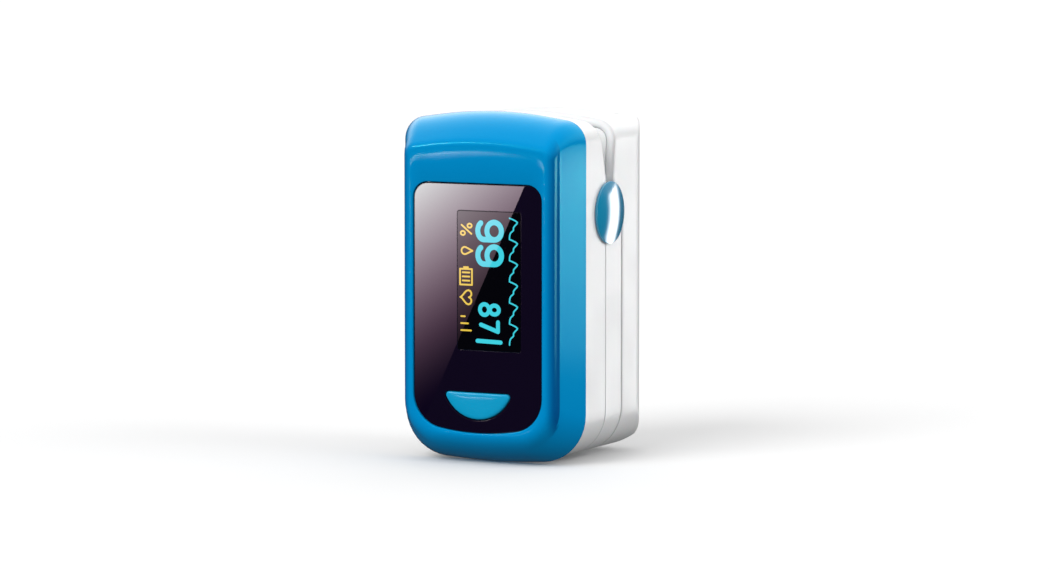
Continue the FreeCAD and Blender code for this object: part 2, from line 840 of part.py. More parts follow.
def build_front_tray():
    strip_front = "(dim.seam_depth + dim.seam_gap)"
    strip_top = "(dim.hinge_height - 2.5)"
    around = "(dim.boss_radius + dim.seam_gap)"
    strip_region = half_width_prism(
        "strip_region",
        [
            (deep(strip_front), BELOW),
            (deep("dim.parting_depth"), BELOW),
            (deep("dim.parting_depth"), strip_top),
            (deep(strip_front), strip_top),
        ],
        "dim.width",
    )
    strip = shared("strip_block", white_envelope("tray_white", "0"), strip_region)
    hollow = block(
        "strip_hollow_block",
        ("-dim.width", "dim.width"),
        (deep("0"), deep("(dim.parting_depth - dim.tray_wall)")),
        (BELOW, ABOVE),
    )
    strip_hollow = shared("strip_hollow", white_envelope("tray_white_inside", "dim.shell_wall"), hollow)
    flange_strip = without("strip_shell", strip, strip_hollow)
    trough = trough_prism(
        "trough_outside", TROUGH_OUT, DECK_FRONT, "dim.trough_radius + dim.trough_wall", "dim.parting_depth"
    )
    end_limit = block(
        "trough_limit",
        ("-dim.width", "dim.width"),
        (deep("0"), deep("dim.parting_depth")),
        (BELOW, "(dim.trough_end + dim.trough_wall)"),
    )
    trough_block = shared("trough_block", trough, white_envelope("trough_white", "0"), end_limit)
    channel = shared(
        "channel",
        trough_prism(
            "trough_inside",
            "dim.trough_half",
            DECK_BACK,
            "dim.trough_radius",
            f"(dim.parting_depth + {FAR})",
        ),
        block(
            "channel_limit",
            ("-dim.width", "dim.width"),
            (deep("0"), deep("dim.body_depth")),
            (BELOW, "dim.trough_end"),
        ),
    )
    # the end wall stops short of the rear half's plug
    end_relief = block(
        "end_relief",
        (f"-{TROUGH_OUT} - 1", f"{TROUGH_OUT} + 1"),
        (deep(f"({PLUG_FACE} - 0.5)"), deep("(dim.parting_depth + 1)")),
        ("dim.trough_end - 0.5", "dim.hinge_height"),
    )
    hinge_relief = rod("tray_hinge_relief", "X", around, "-dim.width", "dim.width", (HINGE_Y, HINGE_Z))
    side_reliefs = []
    for side, low, high in both_sides(f"({TROUGH_OUT})", INNER_HALF):
        # room for the hinge lugs as the rear half swings
        side_reliefs.append(
            block(
                f"lug_relief_{side}",
                (low, high),
                (deep("(dim.seam_depth - 5)"), deep("(dim.parting_depth + 1)")),
                ("dim.hinge_height - 5.2", "dim.hinge_height"),
            )
        )
    relief = shared(
        "strip_relief",
        hinge_relief,
        joined(
            "strip_relief_sides",
            *[
                block(f"strip_side_{side}", (low, high), (deep("0"), deep("dim.body_depth")), (BELOW, ABOVE))
                for side, low, high in both_sides(INNER_HALF, "dim.width")
            ],
        ),
    )
    led_hole = rod(
        "tray_lens_hole",
        "Y",
        "dim.lens_radius + 0.05",
        deep(f"({DECK_FRONT} - 1)"),
        deep(f"({DECK_BACK} + 1)"),
        ("0", "dim.sensor_height"),
    )
    tools = [channel, end_relief, relief, *side_reliefs, led_hole]
    for side in ("right", "left"):
        sign = "" if side == "right" else "-"
        for level, height in (("low", "dim.screw_low"), ("high", "dim.screw_high")):
            where = (f"{sign}dim.column_side", height)
            name = f"tray_{side}_{level}"
            tools.append(
                rod(
                    name + "_sink",
                    "Y",
                    "dim.screw_head_radius + 0.1",
                    deep("(dim.parting_depth - dim.screw_head_wall)"),
                    deep("(dim.parting_depth + 1)"),
                    where,
                )
            )
            tools.append(
                rod(
                    name + "_through",
                    "Y",
                    "dim.screw_radius + 0.1",
                    deep("(dim.parting_depth - 3)"),
                    deep("(dim.parting_depth + 1)"),
                    where,
                )
            )
    solid = joined("front_tray_solid", flange_strip, trough_block)
    sub_part("front_tray", without("front_tray_done", solid, *tools))
    sub_part(
        "emitter_lens",
        rod(
            "emitter_lens_disc",
            "Y",
            "dim.lens_radius",
            deep(f"({DECK_FRONT} + 0.1)"),
            deep(f"({DECK_BACK} + 0.9)"),
            ("0", "dim.sensor_height"),
        ),
    )


def trough_prism(name, half, front_depth, radius, back_depth):
    """A long trough with rounded front corners that runs the length of the body."""
    return prism(
        name,
        "top",
        [
            (f"-({half})", deep(front_depth), radius),
            (half, deep(front_depth), radius),
            (half, deep(back_depth)),
            (f"-({half})", deep(back_depth)),
        ],
        BELOW,
        ABOVE,
    )


def build_front_pad():
    gap = "dim.cap_gap"
    blank = shared(
        "front_pad_blank",
        trough_prism(
            "front_pad_outside",
            f"(dim.trough_half - {gap})",
            f"({DECK_BACK} + {gap})",
            f"dim.trough_radius - {gap}",
            f"({DECK_BACK} + 5.4)",
        ),
        block(
            "front_pad_limit",
            ("-dim.width", "dim.width"),
            (deep("0"), deep("dim.body_depth")),
            ("dim.pad_bottom", f"dim.trough_end - {gap}"),
        ),
    )
    finger = rod(
        "front_pad_finger",
        "Z",
        "dim.pad_radius",
        "dim.pad_bottom - 1",
        "dim.trough_end + 1",
        ("0", f"{deep(PAD_BACK)} + dim.pad_radius"),
    )
    lens_hole = rod(
        "front_pad_hole",
        "Y",
        "dim.lens_radius + 0.1",
        deep(DECK_FRONT),
        deep(f"({PAD_BACK} + 4)"),
        ("0", "dim.sensor_height"),
    )
    sub_part("front_finger_pad", without("front_pad", blank, finger, lens_hole))


# ---------------------------------------------------------------- hinge


def build_hinge():
    reach = f"({WHITE_HALF} - dim.cap_stem_length - 0.1)"
    sub_part("hinge_pin", rod("pin", "X", "dim.pin_radius", f"-{reach}", reach, (HINGE_Y, HINGE_Z)))
    for side in ("right", "left"):
        sign, turn = ("", 1) if side == "right" else ("-", -1)
        inner = f"({WHITE_HALF} + dim.cap_gap)"
        sphere_radius = "((dim.cap_radius^2 + dim.cap_dome^2) / (2 * dim.cap_dome))"
        lens = doc.addObject("Part::Sphere", f"cap_dome_{side}")
        lens.setExpression("Radius", sphere_radius)
        lens.setExpression(
            ".Placement.Base.x", f"{sign}({inner} + dim.cap_rim + dim.cap_dome - {sphere_radius})"
        )
        lens.setExpression(".Placement.Base.y", HINGE_Y)
        lens.setExpression(".Placement.Base.z", HINGE_Z)
        low, high = (inner, f"({inner} + dim.cap_rim + dim.cap_dome + 1)")
        if turn < 0:
            low, high = f"-{high}", f"-{low}"
        disc = rod(f"cap_disc_{side}", "X", "dim.cap_radius", low, high, (HINGE_Y, HINGE_Z))
        low, high = (f"({WHITE_HALF} - dim.cap_stem_length)", f"({inner} + 0.1)")
        if turn < 0:
            low, high = f"-{high}", f"-{low}"
        stem = rod(f"cap_stem_{side}", "X", "dim.cap_stem_radius", low, high, (HINGE_Y, HINGE_Z))
        sub_part(f"hinge_cap_{side}", joined(f"cap_{side}", shared(f"cap_face_{side}", disc, lens), stem))


def coil(name, radius, pitch, turns, wire, turn, base):
    """A helical wire: a helix swept with a round section, turned and moved into place."""
    helix = doc.addObject("Part::Helix", name + "_line")
    helix.setExpression("Radius", str(radius))
    helix.setExpression("Pitch", str(pitch))
    helix.setExpression("Height", f"{pitch} * {turns}")
    section = doc.addObject("Part::Circle", name + "_section")
    section.setExpression("Radius", str(wire))
    section.Placement = FreeCAD.Placement(FreeCAD.Vector(), FreeCAD.Rotation(FreeCAD.Vector(1, 0, 0), 90))
    section.setExpression(".Placement.Base.x", str(radius))
    doc.recompute()
    sweep = doc.addObject("Part::Sweep", name)
    sweep.Sections = [section]
    sweep.Spine = (helix, [f"Edge{i + 1}" for i in range(len(helix.Shape.Edges))])
    sweep.Solid = True
    sweep.Frenet = True
    sweep.Placement = FreeCAD.Placement(FreeCAD.Vector(), turn)
    for letter, expression in zip("xyz", base):
        sweep.setExpression(f".Placement.Base.{letter}", str(expression))
    return sweep


def build_torsion_spring():
    # the coil's own axis runs along X and its first turn starts at the front
    turn = FreeCAD.Rotation(
        FreeCAD.Vector(0, -1, 0), FreeCAD.Vector(0, 0, -1), FreeCAD.Vector(1, 0, 0), "XYZ"
    )
    start = "(-dim.coil_turns * dim.coil_pitch / 2)"
    winding = coil(
        "torsion_coil", "dim.coil_radius", "dim.coil_pitch", "dim.coil_turns", "dim.wire_radius", turn, (
            start, HINGE_Y, HINGE_Z
        )
    )
    legs = [
        rod(
            f"spring_leg_{name}",
            "Z",
            "dim.wire_radius",
            HINGE_Z,
            "dim.hinge_height + dim.leg_length",
            (side, f"{HINGE_Y} {sign} dim.coil_radius"),
        )
        for name, side, sign in (("front", start, "-"), ("rear", f"-{start}", "+"))
    ]
    sub_part("torsion_spring", group("spring_with_legs", winding, *legs))


# ---------------------------------------------------------------- rear half


def build_rear_housing():
    wall = "dim.shell_wall"
    around = "(dim.boss_radius + dim.boss_gap)"
    outside = shared("rear_outside", white_envelope("rear_white", "0"), rear_region("rear_side", "0", around))
    cavity = shared(
        "rear_cavity", white_envelope("rear_white_inside", wall), rear_region("rear_inside", "-3", "1")
    )
    columns, bores = screw_columns("rear", f"({REAR_FACE} + dim.tray_wall + 0.05)", "(dim.body_depth - 1)")
    columns = shared_columns("rear_columns_in", columns)
    bay_front = deep(f"({REAR_FACE} + dim.tray_wall + 0.2)")
    bay_low, bay_high = f"({BAY_FLOOR} - dim.bay_wall)", f"({BAY_TOP} + dim.bay_wall)"
    full_half = f"({INNER_HALF} + 0.5)"
    back = deep("dim.body_depth")
    ledges = [
        block("bay_floor", (f"-{full_half}", full_half), (bay_front, back), (bay_low, BAY_FLOOR)),
        block("bay_roof", (f"-{full_half}", full_half), (bay_front, back), (BAY_TOP, bay_high)),
    ]
    for side, low, high in both_sides(BAY_HALF, f"({BAY_HALF} + dim.bay_wall)"):
        ledges.append(block(f"bay_side_{side}", (low, high), (bay_front, back), (bay_low, bay_high)))
    hinge_room = "(dim.boss_radius + dim.boss_gap + dim.tray_wall + 0.2)"
    bay_walls = shared(
        "bay_walls",
        joined("bay_ledges", *ledges),
        white_envelope("bay_limit", "0.5"),
        rear_region("bay_region", "dim.tray_wall + 0.2", hinge_room),
    )
    # the door lies on a thicker bed at its two ends
    bed_out = "(dim.door_wall + dim.fit_gap)"
    bed_half = f"({BAY_HALF} + dim.bay_wall)"
    bed_depth = (deep("(dim.body_depth - dim.back_end_radius - 1)"), back)
    door_bed = shared(
        "door_bed",
        without(
            "door_bed_shell",
            white_envelope("door_bed_outside", bed_out),
            white_envelope("door_bed_inside", f"({bed_out} + 1)"),
        ),
        joined(
            "door_bed_ends",
            block("door_bed_top", (f"-{bed_half}", bed_half), bed_depth, (BAY_TOP, ABOVE)),
            block(
                "door_bed_bottom",
                (f"-{bed_half}", bed_half),
                bed_depth,
                (BAY_FLOOR, "(dim.door_bottom + 0.5)"),
            ),
        ),
    )
    shell = without("rear_shell", outside, cavity)
    solid = joined("rear_solid", shell, bay_walls, door_bed, *columns)
    # the door's opening, with a groove on each side for its tongues
    opening = block(
        "door_opening",
        ("-(dim.door_half + dim.fit_gap)", "dim.door_half + dim.fit_gap"),
        (deep("(dim.body_depth - dim.back_end_radius)"), deep("(dim.body_depth + 1)")),
        ("dim.door_bottom - dim.fit_gap", ABOVE),
    )
    door_space = without("door_space", opening, white_envelope("door_space_inside", bed_out))
    bay_opening = joined(
        "bay_opening",
        block(
            "bay_room",
            (f"-{BAY_HALF}", BAY_HALF),
            (deep(f"({REAR_FACE} + dim.tray_wall)"), deep("(dim.body_depth - dim.shell_wall - 1.2)")),
            (BAY_FLOOR, BAY_TOP),
        ),
        block(
            "bay_mouth",
            (f"-{BAY_HALF}", BAY_HALF),
            (deep("(dim.body_depth - dim.shell_wall - 1.3)"), deep("(dim.body_depth + 1)")),
            ("dim.door_bottom + 0.5", BAY_TOP),
        ),
    )
    groove = block(
        "tongue_groove",
        ("-(dim.door_half + dim.door_tongue + dim.fit_gap)", "dim.door_half + dim.door_tongue + dim.fit_gap"),
        (
            deep("(dim.body_depth - dim.door_wall - 0.9 - dim.fit_gap)"),
            deep("(dim.body_depth - dim.door_wall - 0.3 + dim.fit_gap)"),
        ),
        ("dim.door_bottom - dim.fit_gap", ABOVE),
    )
    mouth = finger_mouth("rear_mouth", f"({REAR_FACE} - 5)", "(dim.plug_half)", "dim.fit_gap")
    mouth_limit = shared(
        "rear_mouth_cut",
        mouth,
        block(
            "rear_mouth_limit",
            ("-dim.width", "dim.width"),
            (deep("0"), deep(f"({REAR_FACE} + dim.tray_wall + 0.1)")),
            (BELOW, "3"),
        ),
    )
    sub_part(
        "rear_housing",
        without("rear_shell_done", solid, door_space, bay_opening, groove, mouth_limit, *bores),
    )


def build_rear_tray():
    around = "(dim.boss_radius + dim.boss_gap)"
    sheet_plate = without(
        "rear_sheet",
        rear_region("rear_sheet_outside", "0", around),
        rear_region("rear_sheet_inside", "dim.tray_wall", f"({around} + dim.tray_wall)"),
    )
    limit = white_envelope("rear_sheet_limit", "(dim.shell_wall + dim.cap_gap)")
    sheet_in = shared("rear_sheet_in", sheet_plate, limit)
    plug = block(
        "plug_outside",
        ("-dim.plug_half", "dim.plug_half"),
        (deep(PLUG_FACE), deep(f"({REAR_FACE} + 0.2)")),
        ("dim.plug_bottom", "dim.hinge_height + 5"),
    )
    plug_hollow = block(
        "plug_inside",
        ("-(dim.plug_half - dim.tray_wall)", "dim.plug_half - dim.tray_wall"),
        (deep(f"({PLUG_FACE} + dim.tray_wall)"), deep(f"({REAR_FACE} + 5)")),
        ("dim.plug_bottom + dim.tray_wall", "dim.hinge_height + 3.4"),
    )
    # the sheet is cut away behind the plug, where the hinge spring and the plug's own face are
    window = block(
        "plug_window",
        ("-(dim.plug_half - dim.tray_wall)", "dim.plug_half - dim.tray_wall"),
        (deep("dim.hinge_depth"), deep(f"({REAR_FACE} + 5)")),
        ("dim.plug_bottom + dim.tray_wall", "dim.hinge_height + 4.2"),
    )
    lugs, bores = [], []
    inner = f"({INNER_HALF} - dim.boss_height - dim.lug_gap - dim.lug_wall)"
    for side, low, high in both_sides(inner, f"({inner} + dim.lug_wall)"):
        lugs.append(rod(f"lug_{side}", "X", "dim.lug_radius", low, high, (HINGE_Y, HINGE_Z)))
        lugs.append(
            block(
                f"lug_arm_{side}",
                (low, high),
                (HINGE_Y, deep(f"({REAR_FACE} + 0.8)")),
                ("dim.hinge_height - 3", "dim.hinge_height + 3"),
            )
        )
        bores.append(
            rod(
                f"lug_bore_{side}",
                "X",
                "dim.pin_radius + 0.05",
                f"{low} - 1",
                f"{high} + 1",
                (HINGE_Y, HINGE_Z),
            )
        )
    sheet_cut = without("rear_sheet_cut", sheet_in, window)
    plug_shell = without("plug_shell", plug, plug_hollow)
    solid = joined("rear_tray_solid", sheet_cut, plug_shell, *lugs)
    cable_slot = block(
        "cable_slot",
        ("5.2", "8.8"),
        (deep(f"({PLUG_FACE} - 1)"), deep(f"({PLUG_FACE} + dim.tray_wall + 0.5)")),
        ("dim.hinge_height - 0.5", "dim.hinge_height + 0.7"),
    )
    lens_hole = rod(
        "rear_lens_hole",
        "Y",
        "dim.lens_radius + 0.05",
        deep(f"({PLUG_FACE} - 1)"),
        deep(f"({PLUG_FACE} + dim.tray_wall + 0.5)"),
        ("0", "dim.sensor_height"),
    )
    groove = block(
        "rear_leg_groove",
        ("dim.coil_turns * dim.coil_pitch / 2 - 0.45", "dim.coil_turns * dim.coil_pitch / 2 + 0.45"),
        (f"{HINGE_Y}", f"{HINGE_Y} + dim.coil_radius + 0.4"),
        ("dim.hinge_height", "dim.hinge_height + dim.leg_length + 0.6"),
    )
    mouth = prism(
        "rear_tray_mouth",
        "top",
        [
            ("-(dim.plug_half - 1.5)", deep("dim.hinge_depth")),
            ("dim.plug_half - 1.5", deep("dim.hinge_depth")),
            ("dim.plug_half - 1.5", deep(f"({REAR_FACE} + 0.4)"), "3"),
            ("-(dim.plug_half - 1.5)", deep(f"({REAR_FACE} + 0.4)"), "3"),
        ],
        BELOW,
        "dim.plug_bottom",
    )
    tools = [cable_slot, lens_hole, groove, mouth, *bores]
    for side in ("right", "left"):
        sign = "" if side == "right" else "-"
        for level, height in (("low", "dim.screw_low"), ("high", "dim.screw_high")):
            where = (f"{sign}dim.column_side", height)
            name = f"rear_tray_{side}_{level}"
            tools.append(
                rod(
                    name + "_sink",
                    "Y",
                    "dim.screw_head_radius + 0.1",
                    deep(f"({REAR_FACE} - 1)"),
                    deep(f"({REAR_FACE} + dim.screw_head_wall)"),
                    where,
                )
            )
            tools.append(
                rod(
                    name + "_through",
                    "Y",
                    "dim.screw_radius + 0.1",
                    deep(f"({REAR_FACE} - 1)"),
                    deep(f"({REAR_FACE} + 3)"),
                    where,
                )
            )
    sub_part("rear_tray", without("rear_tray_done", solid, *tools))


def build_rear_pad():
    gap = "dim.cap_gap"
    rise = "dim.rear_pad_rise"
    half = "(dim.plug_half - 0.6)"
    blank = prism(
        "rear_pad_blank",
        "top",
        [
            (f"-{half}", deep(f"({PLUG_FACE} - {gap} / 2)")),
            (f"-{half}", deep(f"({PLUG_FACE} - {rise})"), "0.8"),
            (half, deep(f"({PLUG_FACE} - {rise})"), "0.8"),
            (half, deep(f"({PLUG_FACE} - {gap} / 2)")),
        ],
        "dim.plug_bottom + 0.4",
        "dim.trough_end - 1.2",
    )
    finger = rod(
        "rear_pad_finger",
        "Z",
        "dim.pad_radius * 2.2",
        BELOW,
        ABOVE,
        ("0", f"{deep(REAR_PAD_FACE)} - dim.pad_radius * 2.2"),
    )
    lens_hole = rod(
        "rear_pad_hole",
        "Y",
        "dim.lens_radius + 0.1",
        deep(f"({PLUG_FACE} - 6)"),
        deep(f"({PLUG_FACE} + 1)"),
        ("0", "dim.sensor_height"),
    )
    sub_part("rear_finger_pad", without("rear_pad", blank, finger, lens_hole))


def build_sensor():
    face = f"({PLUG_FACE} + dim.tray_wall + 0.1)"
    sub_part(
        "sensor_lens",
        rod(
            "sensor_lens_disc",
            "Y",
            "dim.lens_radius",
            deep(f"({PLUG_FACE} - 0.6)"),
            deep(f"({PLUG_FACE} + dim.tray_wall - 0.1)"),
            ("0", "dim.sensor_height"),
        ),
    )
    sub_part(
        "photodiode",
        block(
            "diode",
            ("-2", "2"),
            (deep(face), deep(f"({face} + 0.5)")),
            ("dim.sensor_height - 2.4", "dim.sensor_height + 2.4"),
        ),
    )
    sub_part(
        "sensor_board",
        block(
            "sensor_plate",
            ("-4", "8.4"),
            (deep(f"({face} + 0.5)"), deep(f"({face} + 0.9)")),
            ("dim.sensor_height - 4", "dim.sensor_height + 5"),
        ),
    )


def build_flex_cable():
    """A thin ribbon from the main board, bent round the hinge pin, to the sensor board."""
    low, high = "5.5", "8.5"
    thick, bend = "0.15", "2.2"
    face = f"({PLUG_FACE} + dim.tray_wall + 0.1)"
    start = f"({BOARD_BACK} + 1.1)"
    drop = f"({face} + 0.5)"
    ring = without(
        "ribbon_ring",
        rod("ribbon_bend_out", "X", f"{bend} + {thick}", low, high, (HINGE_Y, HINGE_Z)),
        rod("ribbon_bend_in", "X", bend, f"{low} - 1", f"{high} + 1", (HINGE_Y, HINGE_Z)),
    )
    upper = block(
        "ribbon_upper", (f"{low} - 1", f"{high} + 1"), (deep("0"), deep("dim.body_depth")), (HINGE_Z, ABOVE)
    )
    sub_part(
        "flex_cable",
        joined(
            "ribbon",
            shared("ribbon_bend", ring, upper),
            block(
                "ribbon_front",
                (low, high),
                (deep(start), f"{HINGE_Y} - {bend}"),
                (HINGE_Z, f"{HINGE_Z} + {thick}"),
            ),
            block(
                "ribbon_rear",
                (low, high),
                (f"{HINGE_Y} + {bend}", deep(drop)),
                (HINGE_Z, f"{HINGE_Z} + {thick}"),
            ),
            block(
                "ribbon_drop",
                (low, high),
                (deep(f"({drop} - {thick})"), deep(drop)),
                ("dim.sensor_height + 1.5", f"{HINGE_Z} + {thick}"),
            ),
        ),
    )


def build_cells():
    axis = deep(CELL_AXIS)
    bottom = "dim.cell_bottom"
    top = "(dim.cell_bottom + dim.cell_length)"
    ends = f"({top} + dim.cell_nub_length)"
    springs = []
    for side, sign, nub_up in (("right", "", True), ("left", "-", False)):
        across = f"{sign}dim.cell_pitch / 2"
        shift = "0" if nub_up else "dim.cell_nub_length"
        low, high = f"({bottom} + {shift})", f"({top} + {shift})"
        can = rod(f"can_{side}", "Z", "dim.cell_radius", low, high, (across, axis))
        nub_span = (high, f"({high} + dim.cell_nub_length)") if nub_up else (bottom, low)
        nub = rod(f"nub_{side}", "Z", "dim.cell_nub_radius", *nub_span, (across, axis))
        sub_part(f"battery_cell_{side}", joined(f"cell_{side}", can, nub))
        # each cell's flat end presses a coil
        below = f"{BAY_FLOOR} + dim.contact_wall" if nub_up else ends
        foot = f"{below} + dim.contact_wire_radius + 0.03"
        spring = coil(
            f"contact_coil_{side}",
            "dim.contact_coil_radius",
            "dim.contact_coil_pitch",
            "dim.contact_coil_turns",
            "dim.contact_wire_radius",
            FreeCAD.Rotation(),
            (across, axis, foot),
        )
        springs.append(spring)
    sub_part("contact_springs", group("contact_coils", *springs))

    def plate(name, side, half, low, high):
        return block(
            name, (f"{side} - {half}", f"{side} + {half}"), (f"{axis} - 3.4", f"{axis} + 3.4"), (low, high)
        )

    reach = "(dim.cell_pitch / 2 + 3.4)"
    strap = plate("bridge_strap", "0", reach, BAY_FLOOR, f"({BAY_FLOOR} + dim.contact_wall)")
    pip = rod("bridge_pip", "Z", "2.2", BAY_FLOOR, f"({bottom} - 0.05)", ("-dim.cell_pitch / 2", axis))
    sub_part("contact_bridge", joined("bridge", strap, pip))
    seat = plate("positive_seat", "dim.cell_pitch / 2", "3.4", f"({BAY_TOP} - dim.contact_wall)", BAY_TOP)
    button = rod(
        "positive_pip", "Z", "2.2", f"({ends} + 0.05)", f"({BAY_TOP} - 0.1)", ("dim.cell_pitch / 2", axis)
    )
    sub_part("positive_contact", joined("positive", seat, button))
    sub_part(
        "negative_contact",
        plate("negative_seat", "-dim.cell_pitch / 2", "3.4", f"({BAY_TOP} - dim.contact_wall)", BAY_TOP),
    )


def build_door():
    region = block(
        "door_region",
        ("-dim.door_half", "dim.door_half"),
        (deep("(dim.body_depth - dim.back_end_radius + 0.1)"), deep("(dim.body_depth + 1)")),
        ("dim.door_bottom", ABOVE),
    )
    skin = without(
        "door_skin",
        shared("door_block", white_envelope("door_white", "0"), region),
        white_envelope("door_inside", "dim.door_wall"),
    )
    tongue_up = ("dim.door_bottom + 2", "dim.length - dim.back_end_radius - 1")
    tongue_front = deep("(dim.body_depth - dim.door_wall - 0.9)")
    tongue_back = deep("(dim.body_depth - dim.door_wall - 0.3)")
    rib_back = deep("(dim.body_depth - dim.door_wall + 0.2)")
    tongues = []
    for side, low, high in both_sides("(dim.door_half - 0.9)", "(dim.door_half + dim.door_tongue)"):
        tongues.append(block(f"tongue_{side}", (low, high), (tongue_front, tongue_back), tongue_up))
    for side, low, high in both_sides("(dim.door_half - 0.9)", "dim.door_half"):
        tongues.append(block(f"tongue_rib_{side}", (low, high), (tongue_front, rib_back), tongue_up))
    grips = [
        block(
            f"door_grip_{i}",
            ("-4.5", "4.5"),
            (deep("(dim.body_depth - 0.35)"), deep("(dim.body_depth + 1)")),
            (f"dim.length - 16 + {i} * 1.5", f"dim.length - 15.3 + {i} * 1.5"),
        )
        for i in range(5)
    ]
    solid = joined("door_solid", skin, *tongues)
    sub_part("battery_door", without("door", solid, *grips))


build_bezel()
build_window()
build_display()
build_board()
build_key()
build_front_housing()
build_front_tray()
build_front_pad()
build_hinge()
build_torsion_spring()
build_rear_housing()
build_rear_tray()
build_rear_pad()
build_sensor()
build_flex_cable()
build_cells()
build_door()
sub_part("front_screws", group("front_screw_set", *screws("front", "dim.parting_depth", -1)))
sub_part("rear_screws", group("rear_screw_set", *screws("rear", REAR_FACE, 1)))

doc.recompute()

failed = [o.Name for o in doc.Objects if "Invalid" in o.State or "Error" in o.State]
if failed:
    raise SystemExit(f"these objects failed: {failed}")
for label, made in parts.items():
    if made.Shape.isNull() or not made.Shape.isValid() or not made.Shape.Solids:
        raise SystemExit(f"{label} has no valid solid")

os.makedirs("parts", exist_ok=True)
for label, made in parts.items():
    made.Shape.exportStep(f"parts/{label}.step")
    box = made.Shape.BoundBox
    print(
        f"{label}: {len(made.Shape.Solids)} solid(s), {made.Shape.Volume:.1f} mm3, "
        f"x {box.XMin:.2f}..{box.XMax:.2f} y {box.YMin:.2f}..{box.YMax:.2f} "
        f"z {box.ZMin:.2f}..{box.ZMax:.2f}"
    )
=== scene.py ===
import math

import bmesh
import bpy
from mathutils import Matrix, Vector


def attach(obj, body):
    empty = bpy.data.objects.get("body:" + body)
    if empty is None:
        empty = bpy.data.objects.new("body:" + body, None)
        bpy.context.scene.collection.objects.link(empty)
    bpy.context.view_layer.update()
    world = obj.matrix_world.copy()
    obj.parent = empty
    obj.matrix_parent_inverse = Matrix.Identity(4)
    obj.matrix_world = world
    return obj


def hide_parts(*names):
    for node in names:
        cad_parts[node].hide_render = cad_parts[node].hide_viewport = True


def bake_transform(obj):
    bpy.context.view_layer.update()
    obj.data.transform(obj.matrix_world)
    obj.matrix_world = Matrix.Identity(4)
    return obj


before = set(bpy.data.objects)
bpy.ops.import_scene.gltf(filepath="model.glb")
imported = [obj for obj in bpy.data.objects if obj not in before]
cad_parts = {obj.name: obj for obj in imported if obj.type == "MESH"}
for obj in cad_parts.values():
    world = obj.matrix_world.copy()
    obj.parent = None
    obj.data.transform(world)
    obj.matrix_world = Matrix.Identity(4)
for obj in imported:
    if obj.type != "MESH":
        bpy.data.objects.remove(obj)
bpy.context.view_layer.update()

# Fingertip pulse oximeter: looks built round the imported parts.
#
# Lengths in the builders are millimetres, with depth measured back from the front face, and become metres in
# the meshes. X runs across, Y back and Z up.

MM = 0.001
FRONT_Y = -17.0  # the front face
HINGE = (-0.8, 43.0)  # the hinge line's y and z
OBJECT_MIDDLE = Vector((0.0, 0.0, 30.25))
RIM_DEPTH = 6.8  # where the bezel meets the white housing
FACE_FRONT = Matrix.Rotation(math.radians(90), 4, "X")  # turns what faces up to face the front


# --- colours

def paint(red, green, blue):
    """A linear colour with full alpha from display values out of 255."""
    def linear(value):
        share = value / 255
        return share / 12.92 if share <= 0.04045 else ((share + 0.055) / 1.055) ** 2.4

    return (linear(red), linear(green), linear(blue), 1.0)


# --- meshes

def piece(name, points, faces, material, body, slot, sharp=32):
    """A finished mesh piece from points in millimetres, riding on a body."""
    mesh = bpy.data.meshes.new(name)
    mesh.from_pydata([Vector(point) * MM for point in points], [], faces)
    mesh.validate()
    shell = bmesh.new()
    shell.from_mesh(mesh)
    bmesh.ops.recalc_face_normals(shell, faces=shell.faces)
    shell.to_mesh(mesh)
    shell.free()
    return place(name, mesh, material, body, sharp)


def place(name, mesh, material, body, sharp=32):
    """Links a mesh as a named piece with smooth faces and sharp creases."""
    mesh.polygons.foreach_set("use_smooth", [True] * len(mesh.polygons))
    mesh.set_sharp_from_angle(angle=math.radians(sharp))
    mesh.materials.clear()
    mesh.materials.append(material)
    thing = bpy.data.objects.new(name, mesh)
    bpy.context.scene.collection.objects.link(thing)
    if body:
        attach(thing, body)
    return thing


def rounded(corners, arc_steps=10, run_steps=4):
    """Points round a polygon of rounded corners (across, up, radius), as many for any radii."""
    points = []
    count = len(corners)
    arcs = []
    for i, (x, z, radius) in enumerate(corners):
        here = Vector((x, z))
        before = Vector(corners[i - 1][:2]) - here
        after = Vector(corners[(i + 1) % count][:2]) - here
        turn = math.pi - before.angle(after)
        if turn < 1e-3:  # a straight joint: the points spread along the line
            reach = 0.25 * min(before.length, after.length)
        else:
            reach = radius * math.tan(turn / 2)
        first = here + before.normalized() * reach
        last = here + after.normalized() * reach
        arc = []
        for step in range(arc_steps + 1):
            share = step / arc_steps
            if turn < 1e-3:
                arc.append(first.lerp(last, share))
                continue
            # a point on the circle that touches both edges
            bisector = (before.normalized() + after.normalized()).normalized()
            middle = here + bisector * (radius / math.cos(turn / 2))
            spoke = first - middle
            sign = 1 if (first - middle).cross(last - middle) > 0 else -1
            angle = sign * turn * share
            arc.append(middle + Matrix.Rotation(angle, 2) @ spoke)
        arcs.append(arc)
    for i, arc in enumerate(arcs):
        points += arc
        after = arcs[(i + 1) % count][0]
        points += [arc[-1].lerp(after, step / run_steps) for step in range(1, run_steps)]
    return [(point.x, point.y) for point in points]


def skin(loops, closed=False, caps=(False, False)):
    """Points and quads joining loops of equal count in turn; closed joins the last to the first."""
    count = len(loops[0])
    points = [point for loop in loops for point in loop]
    faces = []
    last = len(loops) if closed else len(loops) - 1
    for i in range(last):
        a, b = i * count, ((i + 1) % len(loops)) * count
        for j in range(count):
            k = (j + 1) % count
            faces.append((a + j, a + k, b + k, b + j))
    if caps[0]:
        faces.append(tuple(range(count)))
    if caps[1]:
        faces.append(tuple(range((len(loops) - 1) * count, len(loops) * count)))
    return points, faces


